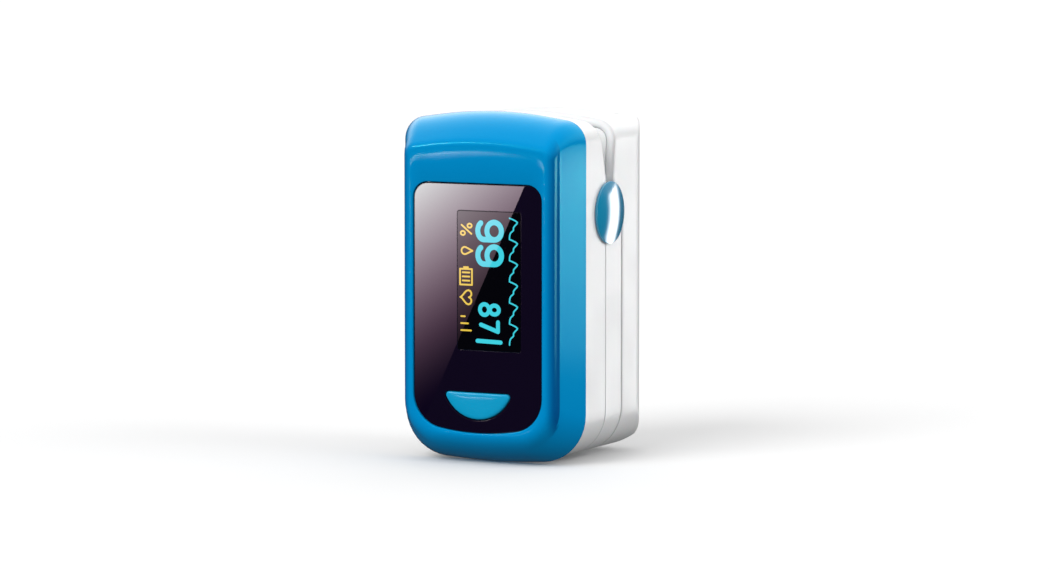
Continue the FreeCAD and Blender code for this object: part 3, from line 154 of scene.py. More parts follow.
def plate(name, outlines, depth, thickness, edge, material, body, slot, segments=3):
    """A flat plate facing forward with rounded edges, from an outline and its holes, at a depth."""
    curve = bpy.data.curves.new(name + "_line", "CURVE")
    curve.dimensions = "2D"
    curve.fill_mode = "BOTH"
    curve.extrude = (thickness / 2 - edge) * MM
    curve.bevel_depth = edge * MM
    curve.bevel_resolution = segments
    curve.offset = -edge * MM
    for corners in outlines:
        spline = curve.splines.new("POLY")
        spline.points.add(len(corners) - 1)
        for point, (x, z) in zip(spline.points, corners):
            point.co = (x * MM, z * MM, 0, 1)
        spline.use_cyclic_u = True
    helper = bpy.data.objects.new(name + "_line", curve)
    bpy.context.scene.collection.objects.link(helper)
    bpy.context.view_layer.update()
    mesh = bpy.data.meshes.new_from_object(helper.evaluated_get(bpy.context.evaluated_depsgraph_get()))
    bpy.data.objects.remove(helper)
    middle = (FRONT_Y + depth + thickness / 2) * MM
    mesh.transform(Matrix.Translation((0, middle, 0)) @ FACE_FRONT)
    weld = bmesh.new()
    weld.from_mesh(mesh)
    bmesh.ops.remove_doubles(weld, verts=weld.verts, dist=1e-7)
    weld.to_mesh(mesh)
    weld.free()
    mesh.name = name
    thing = place(name, mesh, material, body)
    for face in mesh.polygons:  # the two broad faces are shaded flat
        if abs(face.normal.y) > 0.999:
            face.use_smooth = False
    return thing


def bezier(a, b, c, d, share):
    """A point on a cubic curve through pairs of numbers."""
    rest = 1 - share
    return tuple(
        rest**3 * p + 3 * rest**2 * share * q + 3 * rest * share**2 * r + share**3 * s
        for p, q, r, s in zip(a, b, c, d)
    )


# --- shared shader effects

def new_group(name, inputs, outputs):
    """An empty shader group with named sockets: inputs give (name, kind, default), outputs (name, kind)."""
    tree = bpy.data.node_groups.new(name, "ShaderNodeTree")
    kinds = {"value": "NodeSocketFloat", "colour": "NodeSocketColor", "vector": "NodeSocketVector"}
    for label, kind, default in inputs:
        socket = tree.interface.new_socket(label, in_out="INPUT", socket_type=kinds[kind])
        if default is not None:
            socket.default_value = default
    for label, kind in outputs:
        tree.interface.new_socket(label, in_out="OUTPUT", socket_type=kinds[kind])
    return tree, tree.nodes.new("NodeGroupInput").outputs, tree.nodes.new("NodeGroupOutput").inputs


def add(tree, kind, links=(), **settings):
    """A node with its settings, and its sockets linked or given values by name or number."""
    node = tree.nodes.new(kind)
    for key, value in settings.items():
        setattr(node, key, value)
    for key, value in dict(links).items():
        socket = node.inputs[key]
        if hasattr(value, "is_output"):
            tree.links.new(value, socket)
        else:
            socket.default_value = value
    return node


def sum_of(tree, operation, *values, clamp=False):
    """A maths node's result."""
    node = add(tree, "ShaderNodeMath", dict(enumerate(values)), operation=operation)
    node.use_clamp = clamp
    return node.outputs[0]


def ramp(tree, value, start, end, low=0.0, high=1.0, smooth=False):
    """A value that goes from low to high as another goes from start to end."""
    shape = "SMOOTHSTEP" if smooth else "LINEAR"
    limits = {0: value, 1: start, 2: end, 3: low, 4: high}
    return add(tree, "ShaderNodeMapRange", limits, interpolation_type=shape).outputs[0]


def blend_colours(tree, kind, factor, first, second):
    """A colour mix's result."""
    node = tree.nodes.new("ShaderNodeMix")
    node.data_type = "RGBA"
    node.blend_type = kind
    for number, value in ((0, factor), (6, first), (7, second)):
        if hasattr(value, "is_output"):
            tree.links.new(value, node.inputs[number])
        else:
            node.inputs[number].default_value = value
    return node.outputs[2]


def build_edge_group():
    """Softened edges: a rounded normal, and a mask of where the surface turns sharply."""
    tree, given, out = new_group(
        "softened edges", [("Radius", "value", 0.0002)], [("Normal", "vector"), ("Edge", "value")]
    )
    bevel = add(tree, "ShaderNodeBevel", {"Radius": given["Radius"]}, samples=6)
    plain = add(tree, "ShaderNodeNewGeometry")
    pair = {0: bevel.outputs[0], 1: plain.outputs["Normal"]}
    dot = add(tree, "ShaderNodeVectorMath", pair, operation="DOT_PRODUCT")
    turned = sum_of(tree, "SUBTRACT", 1.0, dot.outputs["Value"])
    edge = sum_of(tree, "MULTIPLY", turned, 6.0, clamp=True)
    tree.links.new(bevel.outputs[0], out["Normal"])
    tree.links.new(edge, out["Edge"])
    return tree


def build_grain_group():
    """Fine moulded grain: a height and a slow mottle, both from the place on the object."""
    tree, given, out = new_group(
        "moulded grain",
        [("Size", "value", 0.0002), ("Mottle Size", "value", 0.006)],
        [("Height", "value"), ("Mottle", "value")],
    )
    where = add(tree, "ShaderNodeTexCoord").outputs["Object"]
    fine = sum_of(tree, "DIVIDE", 1.0, given["Size"])
    slow = sum_of(tree, "DIVIDE", 1.0, given["Mottle Size"])
    grain = add(tree, "ShaderNodeTexNoise", {"Vector": where, "Scale": fine, "Detail": 2.0, "Roughness": 0.6})
    mottle = add(tree, "ShaderNodeTexNoise", {"Vector": where, "Scale": slow, "Detail": 3.0})
    tree.links.new(grain.outputs[0], out["Height"])
    tree.links.new(mottle.outputs[0], out["Mottle"])
    return tree


def build_handling_group():
    """Handling marks: fine hairlines and faint smudges, as masks that vary over the surface."""
    tree, given, out = new_group(
        "handling marks", [("Scale", "value", 1.0)], [("Hairlines", "value"), ("Smudges", "value")]
    )
    where = add(tree, "ShaderNodeTexCoord").outputs["Object"]
    drawn_out = {"Vector": where, "Rotation": (0.4, 0.5, 0.7), "Scale": (900, 60, 900)}
    turned = add(tree, "ShaderNodeMapping", drawn_out).outputs[0]
    lines = add(tree, "ShaderNodeTexNoise", {"Vector": turned, "Scale": given["Scale"], "Detail": 1.0})
    cloudy = {"Vector": where, "Scale": 110.0, "Detail": 4.0, "Distortion": 0.6}
    smudge = add(tree, "ShaderNodeTexNoise", cloudy)
    tree.links.new(ramp(tree, lines.outputs[0], 0.68, 0.74), out["Hairlines"])
    tree.links.new(ramp(tree, smudge.outputs[0], 0.4, 0.7), out["Smudges"])
    return tree


def build_tone_group():
    """A finish's colour: mottled slightly, and lighter or darker on its edges."""
    tree, given, out = new_group(
        "varied tone",
        [
            ("Colour", "colour", None),
            ("Edge Colour", "colour", None),
            ("Mottle", "value", 0.5),
            ("Edge", "value", 0.0),
            ("Mottle Amount", "value", 0.05),
            ("Edge Amount", "value", 0.3),
        ],
        [("Colour", "colour")],
    )
    swing = sum_of(tree, "SUBTRACT", given["Mottle"], 0.5)
    swing = sum_of(tree, "MULTIPLY", swing, given["Mottle Amount"])
    swing = sum_of(tree, "MULTIPLY", swing, 2.0)
    gain = sum_of(tree, "ADD", swing, 1.0)
    grey = add(tree, "ShaderNodeCombineColor", {0: gain, 1: gain, 2: gain})
    mottled = blend_colours(tree, "MULTIPLY", 1.0, given["Colour"], grey.outputs[0])
    # the share of the edge colour: sharp edges turn lighter or darker by it
    edge_blend = sum_of(tree, "MULTIPLY", given["Edge"], given["Edge Amount"], clamp=True)
    tree.links.new(blend_colours(tree, "MIX", edge_blend, mottled, given["Edge Colour"]), out["Colour"])
    return tree


EDGES = build_edge_group()
GRAIN = build_grain_group()
HANDLING = build_handling_group()
TONE = build_tone_group()


def place_group(tree, group, **values):
    """A group in a material, with its inputs by name, underscores for spaces."""
    node = tree.nodes.new("ShaderNodeGroup")
    node.node_tree = group
    for key, value in values.items():
        socket = node.inputs[key.replace("_", " ")]
        if hasattr(value, "is_output"):
            tree.links.new(value, socket)
        else:
            socket.default_value = value
    return node.outputs


def finish(
    name,
    colour,
    rough,
    edge_colour=None,
    edge_amount=0.25,
    edge_radius=0.2,
    grain=0.2,
    grain_depth=0.004,
    mottle=6.0,
    mottle_amount=0.04,
    smudge=0.06,
    hairline=0.05,
    **shader,
):
    """A moulded, plated or glazed finish; sizes in millimetres, and shader sets the surface's sockets."""
    material = bpy.data.materials.new(name)
    material.use_nodes = True
    material.diffuse_color = colour
    tree = material.node_tree
    surface = tree.nodes["Principled BSDF"]
    edges = place_group(tree, EDGES, Radius=edge_radius * MM)
    grains = place_group(tree, GRAIN, Size=grain * MM, Mottle_Size=mottle * MM)
    marks = place_group(tree, HANDLING)
    tone = place_group(
        tree,
        TONE,
        Colour=colour,
        Edge_Colour=edge_colour or colour,
        Mottle=grains["Mottle"],
        Edge=edges["Edge"],
        Mottle_Amount=mottle_amount,
        Edge_Amount=edge_amount,
    )
    tree.links.new(tone["Colour"], surface.inputs["Base Color"])
    dull = sum_of(tree, "MULTIPLY", marks["Smudges"], smudge)
    lined = sum_of(tree, "MULTIPLY", marks["Hairlines"], hairline)
    dull = sum_of(tree, "ADD", dull, lined)
    tree.links.new(sum_of(tree, "ADD", dull, rough), surface.inputs["Roughness"])
    relief = {"Height": grains["Height"], "Normal": edges["Normal"]}
    relief |= {"Distance": grain_depth * MM, "Strength": 1.0}
    tree.links.new(add(tree, "ShaderNodeBump", relief).outputs[0], surface.inputs["Normal"])
    for key, value in shader.items():
        surface.inputs[key.replace("_", " ")].default_value = value
    return material


DOT_PITCH = 0.2


def glow(name, colour, strength=1.0):
    """A lit dot-matrix finish: bright dots with a slightly dimmer grid between them."""
    material = bpy.data.materials.new(name)
    material.use_nodes = True
    material.diffuse_color = colour
    tree = material.node_tree
    surface = tree.nodes["Principled BSDF"]
    surface.inputs["Base Color"].default_value = (0.01, 0.01, 0.01, 1)
    surface.inputs["Roughness"].default_value = 0.01
    surface.inputs["IOR"].default_value = 1.35
    where = add(tree, "ShaderNodeTexCoord").outputs["Object"]
    grid = {"Vector": where, "Scale": 1 / (DOT_PITCH * MM), "Randomness": 0.0}
    dots = add(tree, "ShaderNodeTexVoronoi", grid, distance="CHEBYCHEV")
    lit = ramp(tree, dots.outputs["Distance"], 0.36, 0.5, 1.0, 0.72)
    grey = add(tree, "ShaderNodeCombineColor", {0: lit, 1: lit, 2: lit}).outputs[0]
    tree.links.new(blend_colours(tree, "MULTIPLY", 1.0, colour, grey), surface.inputs["Emission Color"])
    surface.inputs["Emission Strength"].default_value = strength
    return material


def mix_painted_shade(material, attribute, colour):
    """Mixes a darker colour into a finish where the mesh is marked: painted shade."""
    tree = material.node_tree
    surface = tree.nodes["Principled BSDF"]
    usual = surface.inputs["Base Color"].links[0].from_socket
    mark = add(tree, "ShaderNodeAttribute", attribute_name=attribute)
    mixed = blend_colours(tree, "MIX", mark.outputs["Fac"], usual, colour)
    tree.links.new(mixed, surface.inputs["Base Color"])


BLUE = finish(
    "blue gloss shell", paint(0, 139, 203), 0.18, edge_colour=paint(0, 150, 200), edge_amount=0.1,
    grain=0.35, grain_depth=0.0005, mottle=9.0, mottle_amount=0.02, smudge=0.03, hairline=0.03,
    Coat_Weight=0.2, Coat_Roughness=0.06, IOR=1.6, Specular_Tint=(0.0, 1.0, 0.8, 1.0),
)
# painted shade: this darker blue goes down the bezel's side shoulders, where the lights leave a dark band
mix_painted_shade(BLUE, "painted_shade_blue", paint(0, 84, 148))


def white_finish(name, edge_shade, edge_amount, edge_radius):
    return finish(
        name, paint(236, 237, 238), 0.32, edge_colour=paint(edge_shade, edge_shade, edge_shade),
        edge_amount=edge_amount, edge_radius=edge_radius, grain=0.3, grain_depth=0.0008, mottle=12.0,
        mottle_amount=0.012, smudge=0.05, hairline=0.04, Specular_IOR_Level=0.35, Subsurface_Weight=0.08,
        Subsurface_Scale=0.001,
    )


WHITE = white_finish("white gloss shell", 250, 0.2, 0.3)
WHITE_REAR = white_finish("white gloss rear shell", 244, 0.1, 1.3)
SMOKE = finish(
    "smoked window", paint(13, 6, 27), 0.0, edge_colour=paint(40, 30, 60), edge_amount=0.4, grain=0.5,
    grain_depth=0.00003, mottle=15.0, mottle_amount=0.06, smudge=0.012, hairline=0.02, IOR=1.42,
)
KEY_BLUE = finish(
    "blue key", paint(0, 158, 205), 0.2, edge_colour=paint(90, 205, 235), edge_amount=0.2, grain=0.25,
    grain_depth=0.0006, mottle=3.0, mottle_amount=0.03, smudge=0.04, Coat_Weight=0.5, Coat_Roughness=0.08,
)
CAP_BLUE = finish(
    "blue hinge cap", paint(0, 146, 190), 0.14, edge_colour=paint(120, 215, 240), edge_amount=0.5,
    grain=0.25, grain_depth=0.0006, mottle=3.0, mottle_amount=0.03, Coat_Weight=1.0, Coat_Roughness=0.1,
    IOR=1.7,
)
FRAME_BLACK = finish(
    "black moulded frame", paint(24, 23, 27), 0.55, edge_colour=paint(52, 52, 56), grain=0.15,
)
BOARD = finish(
    "green solder mask", paint(14, 84, 52), 0.32, edge_colour=paint(150, 160, 110), edge_amount=0.6,
    edge_radius=0.08, grain=0.5, grain_depth=0.003, mottle=1.6, mottle_amount=0.2, Coat_Weight=0.3,
)
CHIP = finish(
    "black chip case", paint(30, 30, 32), 0.6, edge_colour=paint(80, 80, 84), edge_radius=0.08,
    grain=0.08,
)
STEEL = finish(
    "drawn spring steel", paint(168, 170, 174), 0.28, edge_colour=paint(210, 210, 212), grain=0.1,
    grain_depth=0.002, mottle=1.0, mottle_amount=0.1, Metallic=1.0,
)
PLATED = finish(
    "nickel plate", paint(196, 190, 176), 0.22, edge_colour=paint(225, 222, 212), grain=0.2,
    grain_depth=0.0015, mottle=2.0, mottle_amount=0.08, Metallic=1.0,
)
SOFT = finish(
    "silicone finger pad", paint(196, 200, 206), 0.62, edge_colour=paint(222, 226, 230), edge_radius=0.4,
    grain=0.18, grain_depth=0.006, mottle=5.0, mottle_amount=0.05, smudge=0.12, Sheen_Weight=0.25,
    Sheen_Roughness=0.4, Subsurface_Weight=0.2, Subsurface_Scale=0.002,
)
LENS = finish(
    "moulded clear lens", paint(205, 216, 226), 0.08, edge_colour=paint(235, 240, 245), grain=0.4,
    grain_depth=0.0008, mottle=2.0, Transmission_Weight=0.6, IOR=1.49,
)
SLEEVE = finish(
    "printed cell sleeve", paint(52, 60, 72), 0.3, edge_colour=paint(120, 130, 140), grain=0.3,
    grain_depth=0.001, mottle=4.0, mottle_amount=0.08, Coat_Weight=0.4, Metallic=0.4,
)
RIBBON = finish(
    "amber film", paint(186, 112, 38), 0.3, edge_colour=paint(222, 160, 80), grain=0.4, grain_depth=0.001,
    mottle=1.2, mottle_amount=0.12, Coat_Weight=0.3,
)
GLASS = finish(
    "dark display glass", paint(3, 3, 8), 0.0, grain=0.6,
    grain_depth=0.00003, mottle=8.0, mottle_amount=0.1, smudge=0.012, hairline=0.02, IOR=1.32,
)
CYAN = glow("lit cyan figures", paint(60, 215, 232))
AMBER = glow("lit yellow marks", paint(240, 205, 70))


# --- blue bezel

LENGTH = 60.5
TOP_ARCH, TOP_SLOPE = 74.0, 0.14
FOOT_ARCH, FOOT_SLOPE = 110.0, 0.07


def body_outline(half, top, bottom, top_corner, bottom_corner):
    """The arched front outline with a given half width and end heights."""
    peak = top + TOP_ARCH * (math.hypot(1, TOP_SLOPE) - 1) * (top / LENGTH)
    foot = bottom - FOOT_ARCH * (math.hypot(1, FOOT_SLOPE) - 1)
    return [
        (0, foot, FOOT_ARCH),
        (half, foot + FOOT_SLOPE * half, bottom_corner),
        (half, peak - TOP_SLOPE * half, top_corner),
        (0, peak, TOP_ARCH),
        (-half, peak - TOP_SLOPE * half, top_corner),
        (-half, foot + FOOT_SLOPE * half, bottom_corner),
    ]


WINDOW_HALF, WINDOW_FOOT, WINDOW_TOP = 12.4, 5.5, 48.5
WINDOW_ARCH, WINDOW_SLOPE = 42.0, 0.17
WINDOW_FOOT_CORNER, WINDOW_TOP_CORNER = 6.0, 2.8


def window_line(grow):
    """The display window's outline, larger by grow."""
    half = WINDOW_HALF + grow
    top = WINDOW_TOP + grow
    arch = WINDOW_ARCH + grow
    foot = WINDOW_FOOT - grow - arch * (math.hypot(1, WINDOW_SLOPE) - 1)
    return [
        (0, foot, arch),
        (half, foot + WINDOW_SLOPE * half, WINDOW_FOOT_CORNER + grow),
        (half, top, WINDOW_TOP_CORNER + grow),
        (0, top, 1),
        (-half, top, WINDOW_TOP_CORNER + grow),
        (-half, foot + WINDOW_SLOPE * half, WINDOW_FOOT_CORNER + grow),
    ]


def flat_loop(corners, depth):
    """A level loop of points at a depth behind the front face."""
    return [(x, FRONT_Y + depth, z) for x, z in rounded(corners)]


CREASE = 0.45  # share of the bevel at which the side's rounded shoulder meets its straight flank
TOP_TURN = 0.3  # share at which the top's shoulder ends
# Curves across the bevel, as (half width or height, depth) at four handles
SIDE_SHOULDER = ((13.0, 0), (14.15, 0), (14.62, 0.9), (14.86, 2.0))
SIDE_FLANK_RUN = (2.64, 4.8)
TOP_SHOULDER = ((54.9, 0), (55.5, 0), (55.85, 0.2), (56.45, 0.75))
TOP_FALL = ((56.45, 0.75), (58.9, 2.95), (60.3, 4.7), (60.5, RIM_DEPTH))
FOOT_FALL = ((5.15, 0), (3.5, 0.1), (0.9, 2.6), (0.0, RIM_DEPTH))
# What the rim and the inside of the shell are made from: body_outline's five sizes, and a depth
INNER_LOOPS = (
    ((17.3, 60.3, 0.2, 4.0, 8.4), RIM_DEPTH),
    ((16.15, 59.3, 1.2, 3.0, 7.4), RIM_DEPTH),
    ((16.0, 59.2, 1.3, 2.9, 7.3), 6.5),
    ((13.05, 55.7, 4.8, 1.3, 5.6), 1.2),
)


def bevel_loop(share):
    """One loop of the bezel's bevel, from the edge of the flat front (0) to the rim (1)."""
    if share <= CREASE:
        side = bezier(*SIDE_SHOULDER, share / CREASE)
    else:
        run = (share - CREASE) / (1 - CREASE)
        crease_x, crease_depth = SIDE_SHOULDER[3]
        side = (crease_x + SIDE_FLANK_RUN[0] * run, crease_depth + SIDE_FLANK_RUN[1] * run)
    if share <= TOP_TURN:
        top = bezier(*TOP_SHOULDER, share / TOP_TURN)
    else:
        top = bezier(*TOP_FALL, (share - TOP_TURN) / (1 - TOP_TURN))
    foot = bezier(*FOOT_FALL, share)
    corners = body_outline(side[0], top[0], foot[0], 1.5 + 2.7 * share, 5.7 + 2.9 * share**0.8)
    loop = []
    line = rounded(corners)
    count = len(line)
    for i, (x, z) in enumerate(line):
        along = Vector(line[(i + 1) % count]) - Vector(line[i - 1])
        across = (along.y / along.length) ** 2  # 1 where the outline faces sideways
        end = top[1] if z > OBJECT_MIDDLE.z else foot[1]
        loop.append((x, FRONT_Y + side[1] * across + end * (1 - across), z))
    return loop


def mark_shoulder_shade(mesh):
    """Marks the shoulder that runs down each side for painted shade: its darker blue stands in for the dark
    band that the lights leave along it.
    """
    tone = mesh.attributes.new("painted_shade_blue", "FLOAT", "POINT")
    inner_edge, rise_width, shade_depth_limit, top_end, end_length = 13.1, 1.3, 2.02, 57, 5
    for vertex, mark in zip(mesh.vertices, tone.data):
        x, depth, z = abs(vertex.co.x) / MM, vertex.co.y / MM - FRONT_Y, vertex.co.z / MM
        rise = min(max((x - inner_edge) / rise_width, 0), 1)
        fade = 1 if depth < shade_depth_limit else 0
        ends = min(max((top_end - z) / end_length, 0), 1)
        mark.value = rise * fade * ends


def build_bezel():
    """The blue shell: the window's recess, the bevel out to the rim, and the inside back to the recess."""
    shares = [CREASE * step / 10 for step in range(10)]
    shares += [CREASE - 0.01, CREASE + 0.01]
    shares += [CREASE + (1 - CREASE) * step / 12 for step in range(1, 13)]
    recess = ((0, 1.2), (0, 0.16), (0.05, 0.05), (0.16, 0))  # growth and depth of each loop
    loops = [flat_loop(window_line(grow), depth) for grow, depth in recess]
    loops += [bevel_loop(share) for share in shares]
    loops += [flat_loop(body_outline(*sizes), depth) for sizes, depth in INNER_LOOPS]
    bezel = piece("bezel_shell", *skin(loops, closed=True), BLUE, "front_half", "bezel_blue")
    # marks the shoulders that take the painted shade
    mark_shoulder_shade(bezel.data)
    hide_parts("front_bezel")


# --- window and lit display

DISPLAY_OPENING = (-3.8, 8.25, 19.9, 43.7)  # left, right, bottom and top of the clear area


KEY_HALF, KEY_TOP = 6.6, 12.5
KEY_SLOPE = 1.732  # the steepness of the key's two lower sides
KEY_GAP = 0.15  # round the key, in the window's hole


def key_line(grow):
    """The key's half-moon outline, larger by grow."""
    spread = (2 + 1) / KEY_SLOPE
    half = KEY_HALF + grow * spread
    top = KEY_TOP + grow
    return [(-half, top, 0.6 + grow), (0, top - KEY_SLOPE * half, 6.8 + grow), (half, top, 0.6 + grow)]


def box_line(left, right, bottom, top, radius):
    """An upright rectangle's corners, all of one radius."""
    return [(left, bottom, radius), (right, bottom, radius), (right, top, radius), (left, top, radius)]


def build_window():
    """The smoked plate with the key's hole, a seat behind it and a clear panel in its opening."""
    left, right, bottom, top = DISPLAY_OPENING
    opening = rounded(box_line(left, right, bottom, top, 0.35), 4, 1)
    lap = 0.1
    glass_edge = rounded(box_line(left - lap, right + lap, bottom - lap, top + lap, 0.4), 4, 1)
    key_hole = rounded(key_line(KEY_GAP), 12, 2)
    look = (SMOKE, "front_half", "window_tint")
    face = plate("window_plate", [rounded(window_line(-0.12)), opening, key_hole], 0.25, 1.1, 0.08, *look)
    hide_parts("display_window")
    plate("window_seat", [rounded(window_line(0.38)), opening, key_hole], 1.3, 0.58, 0.04, *look)
    plate("window_clear_panel", [glass_edge], 0.235, 0.06, 0.01, GLASS, *look[1:])


def stroke(points, width):
    """The outline of a line of even width with round ends, as a closed shape for each run."""
    shapes = []
    for (ax, ay), (bx, by) in zip(points, points[1:]):
        along = Vector((bx - ax, by - ay))
        heading = math.atan2(along.y, along.x)
        shape = []
        for centre, start in (((bx, by), heading - math.pi / 2), ((ax, ay), heading + math.pi / 2)):
            for step in range(7):
                angle = start + math.pi * step / 6
                x, y = math.cos(angle) * width / 2, math.sin(angle) * width / 2
                shape.append((centre[0] + x, centre[1] + y))
        shapes.append(shape)
    return shapes


def ellipse(cx, cy, rx, ry, start=0.0, end=360.0, steps=24):
    """Points along an ellipse, angles in degrees."""
    return [
        (
            cx + rx * math.cos(math.radians(start + (end - start) * i / steps)),
            cy + ry * math.sin(math.radians(start + (end - start) * i / steps)),
        )
        for i in range(steps + 1)
    ]


def figure_nine(width, height, weight):
    """A nine as strokes, in its own upright frame from 0 to width and 0 to height."""
    half = weight / 2
    ring = ellipse(width / 2, height * 0.66, width / 2 - half, height * 0.34 - half)
    tail = [(width - half, height * 0.66), (width - half, height * 0.34)]
    tail += ellipse(width / 2, height * 0.3, width / 2 - half, height * 0.3 - half, 0, -150, 12)
    return [ring, tail]


def figure_eight(width, height, weight):
    """An eight as strokes, in the same frame."""
    half = weight / 2
    return [
        ellipse(width / 2, height * 0.74, width * 0.44 - half, height * 0.26 - half / 2),
        ellipse(width / 2, height * 0.26, width / 2 - half, height * 0.26 - half / 2),
    ]


def figure_seven(width, height, weight):
    """A seven as one stroke, in the same frame."""
    half = weight / 2
    return [[(half, height - half), (width - half, height - half), (width * 0.38, half)]]


def heart(width, height):
    """A heart's outline as one stroke, in the same frame."""
    points = []
    for i in range(25):
        angle = 2 * math.pi * i / 24
        x = 16 * math.sin(angle) ** 3
        y = 13 * math.cos(angle) - 5 * math.cos(2 * angle) - 2 * math.cos(3 * angle) - math.cos(4 * angle)
        points.append((width * (0.5 + x / 34), height * (0.55 + y / 31)))
    return [points]


FIGURE_LIFT = 0.45  # the figures' shift up the display
FIGURE_DEPTH = 0.15
STROKE_STEP = 0.0004  # each stroke lies a little behind the one before, so that no two share a plane
STROKE_THICKNESS = 0.04
READING_WEIGHT, RATE_WEIGHT, WAVE_WEIGHT, MARK_WEIGHT = 0.95, 0.72, 0.25, 0.3
READING_SIZE = (3.95, 5.5)  # a large figure's width and height
EIGHT_SIZE, SEVEN_SIZE = (2.55, 4.0), (2.35, 4.0)
READING_PLACES = ((-0.35, 41.95), (-0.35, 37.75))  # left and top of each large figure
EIGHT_PLACE, SEVEN_PLACE, HEART_PLACE = (0.35, 27.75), (0.35, 24.75), (-3.25, 29.75)
RATE_BAR = [(0.05, 21.5), (4.5, 21.4)]  # the lone last figure
WAVE_START, WAVE_END, WAVE_BEATS = 42.3, 20.6, 6
WAVE_BASE, WAVE_HEIGHT = 6.2, 1.55
RISE_SHARE = 0.22  # how much of a beat its quick rise takes


# The display is read with the device on its side: its lines run down the device and its tops face +X.
def on_display(points, spot):
    """Moves an upright figure onto the display; spot is its base's X there and the height it starts at."""
    left, top = spot
    return [(left + y, top + FIGURE_LIFT - x) for x, y in points]


def draw_figures(name, strokes, weight, material):
    """Thin lit strokes lying just behind the window's front face, joined as one piece."""
    depth = FIGURE_DEPTH
    meshes = bmesh.new()
    for line in strokes:
        for shape in stroke(line, weight):
            depth += STROKE_STEP
            near, far = (FRONT_Y + depth) * MM, (FRONT_Y + depth + STROKE_THICKNESS) * MM
            corners = [meshes.verts.new((x * MM, near, z * MM)) for x, z in shape]
            backs = [meshes.verts.new((x * MM, far, z * MM)) for x, z in shape]
            meshes.faces.new(corners)
            meshes.faces.new(list(reversed(backs)))
            for i in range(len(corners)):
                k = (i + 1) % len(corners)
                meshes.faces.new((corners[k], corners[i], backs[i], backs[k]))
    bmesh.ops.recalc_face_normals(meshes, faces=meshes.faces)
    mesh = bpy.data.meshes.new(name)
    meshes.to_mesh(mesh)
    meshes.free()
    return place(name, mesh, material, "front_half")


def build_figures():
    """Two large figures, three small ones, the trace beside them and the yellow marks."""
    big = figure_nine(*READING_SIZE, READING_WEIGHT)
    reading = [on_display(line, spot) for spot in READING_PLACES for line in big]
    draw_figures("lit_reading", reading, READING_WEIGHT, CYAN)
    rate = [on_display(line, EIGHT_PLACE) for line in figure_eight(*EIGHT_SIZE, RATE_WEIGHT)]
    rate += [on_display(line, SEVEN_PLACE) for line in figure_seven(*SEVEN_SIZE, RATE_WEIGHT)]
    rate.append(RATE_BAR)
    draw_figures("lit_rate", rate, RATE_WEIGHT, CYAN)
    draw_figures("lit_wave", [pulse_wave()], WAVE_WEIGHT, CYAN)
    marks = [on_display(line, HEART_PLACE) for line in heart(2.6, 2.3)]
    marks += battery_mark() + share_sign() + level_bars()
    draw_figures("lit_marks", marks, MARK_WEIGHT, AMBER)


def pulse_wave():
    """A pulse trace down the display's far side: quick rises with a rounded fall and a small second bump."""
    length = (WAVE_START - WAVE_END) / WAVE_BEATS
    points = []
    for i in range(WAVE_BEATS * 16 + 1):
        along = i / 16
        phase = along % 1
        if phase < RISE_SHARE:
            height = math.sin(phase / RISE_SHARE * math.pi / 2)
        else:
            fall = (phase - RISE_SHARE) / (1 - RISE_SHARE)
            second_bump = 0.22 * math.exp(-((fall - 0.45) ** 2) / 0.012)
            height = (1 - fall) ** 2.2 + second_bump
        across = WAVE_BASE + WAVE_HEIGHT * min(height, 1)
        points.append((across, WAVE_START + FIGURE_LIFT - along * length))
    return points


def share_sign():
    """A per-cent sign and a drop at the head of the yellow column."""
    sign = [
        ellipse(0.45, 1.75, 0.35, 0.42, steps=12),
        ellipse(1.75, 0.45, 0.35, 0.42, steps=12),
        [(0.35, 0.2), (1.85, 2.1)],
    ]
    tip = (0.75, 2.3)
    drop = [tip, (0.2, 1.1)] + ellipse(0.75, 0.8, 0.62, 0.62, 155, 385, 14) + [tip]
    return [on_display(line, (-3.2, 41.2)) for line in sign] + [on_display(drop, (-3.2, 37.2))]


def level_bars():
    """Three short bars of rising height at the foot of the yellow column."""
    left = -3.1
    return [[(left, top), (left + rise, top)] for top, rise in ((25.6, 0.7), (24.4, 1.3), (23.2, 1.9))]


def battery_mark():
    """A small cell with three bars, standing across the yellow column."""
    left, right, top, bottom = -3.3, -1.0, 33.75, 31.05
    case = [(left, bottom), (right, bottom), (right, top), (left, top), (left, bottom)]
    bars = [[(left + 0.5, z), (right - 0.5, z)] for z in (bottom + 0.7, bottom + 1.4, bottom + 2.1)]
    tip = [[(left + 0.75, top + 0.3), (right - 0.75, top + 0.3)]]
    return [case] + bars + tip


# --- power key

KEY_MIDDLE = 10.7  # the height that the face's loops draw in towards
KEY_LOOPS = (  # depth and size of each loop, from the back to the crown
    (2.25, 1.0), (1.0, 1.0), (0.42, 1.0), (0.26, 0.985), (0.14, 0.955), (0.07, 0.9), (0.03, 0.78), (0.0, 0.5),
    (0.0, 0.2),
)


def build_key():
    """A pillowed half-moon: loops that draw in as they rise to the crowned face."""
    base = rounded(key_line(0), 12, 6)
    loops = [
        [(x * scale, FRONT_Y + depth, KEY_MIDDLE + (z - KEY_MIDDLE) * scale) for x, z in base]
        for depth, scale in KEY_LOOPS
    ]
    key = piece("power_key_cap", *skin(loops, caps=(True, True)), KEY_BLUE, "key", "key_blue", sharp=50)
    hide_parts("power_key")


# --- finger pads

LENS_HEIGHT, LENS_HOLE_RADIUS = 20.0, 3.1


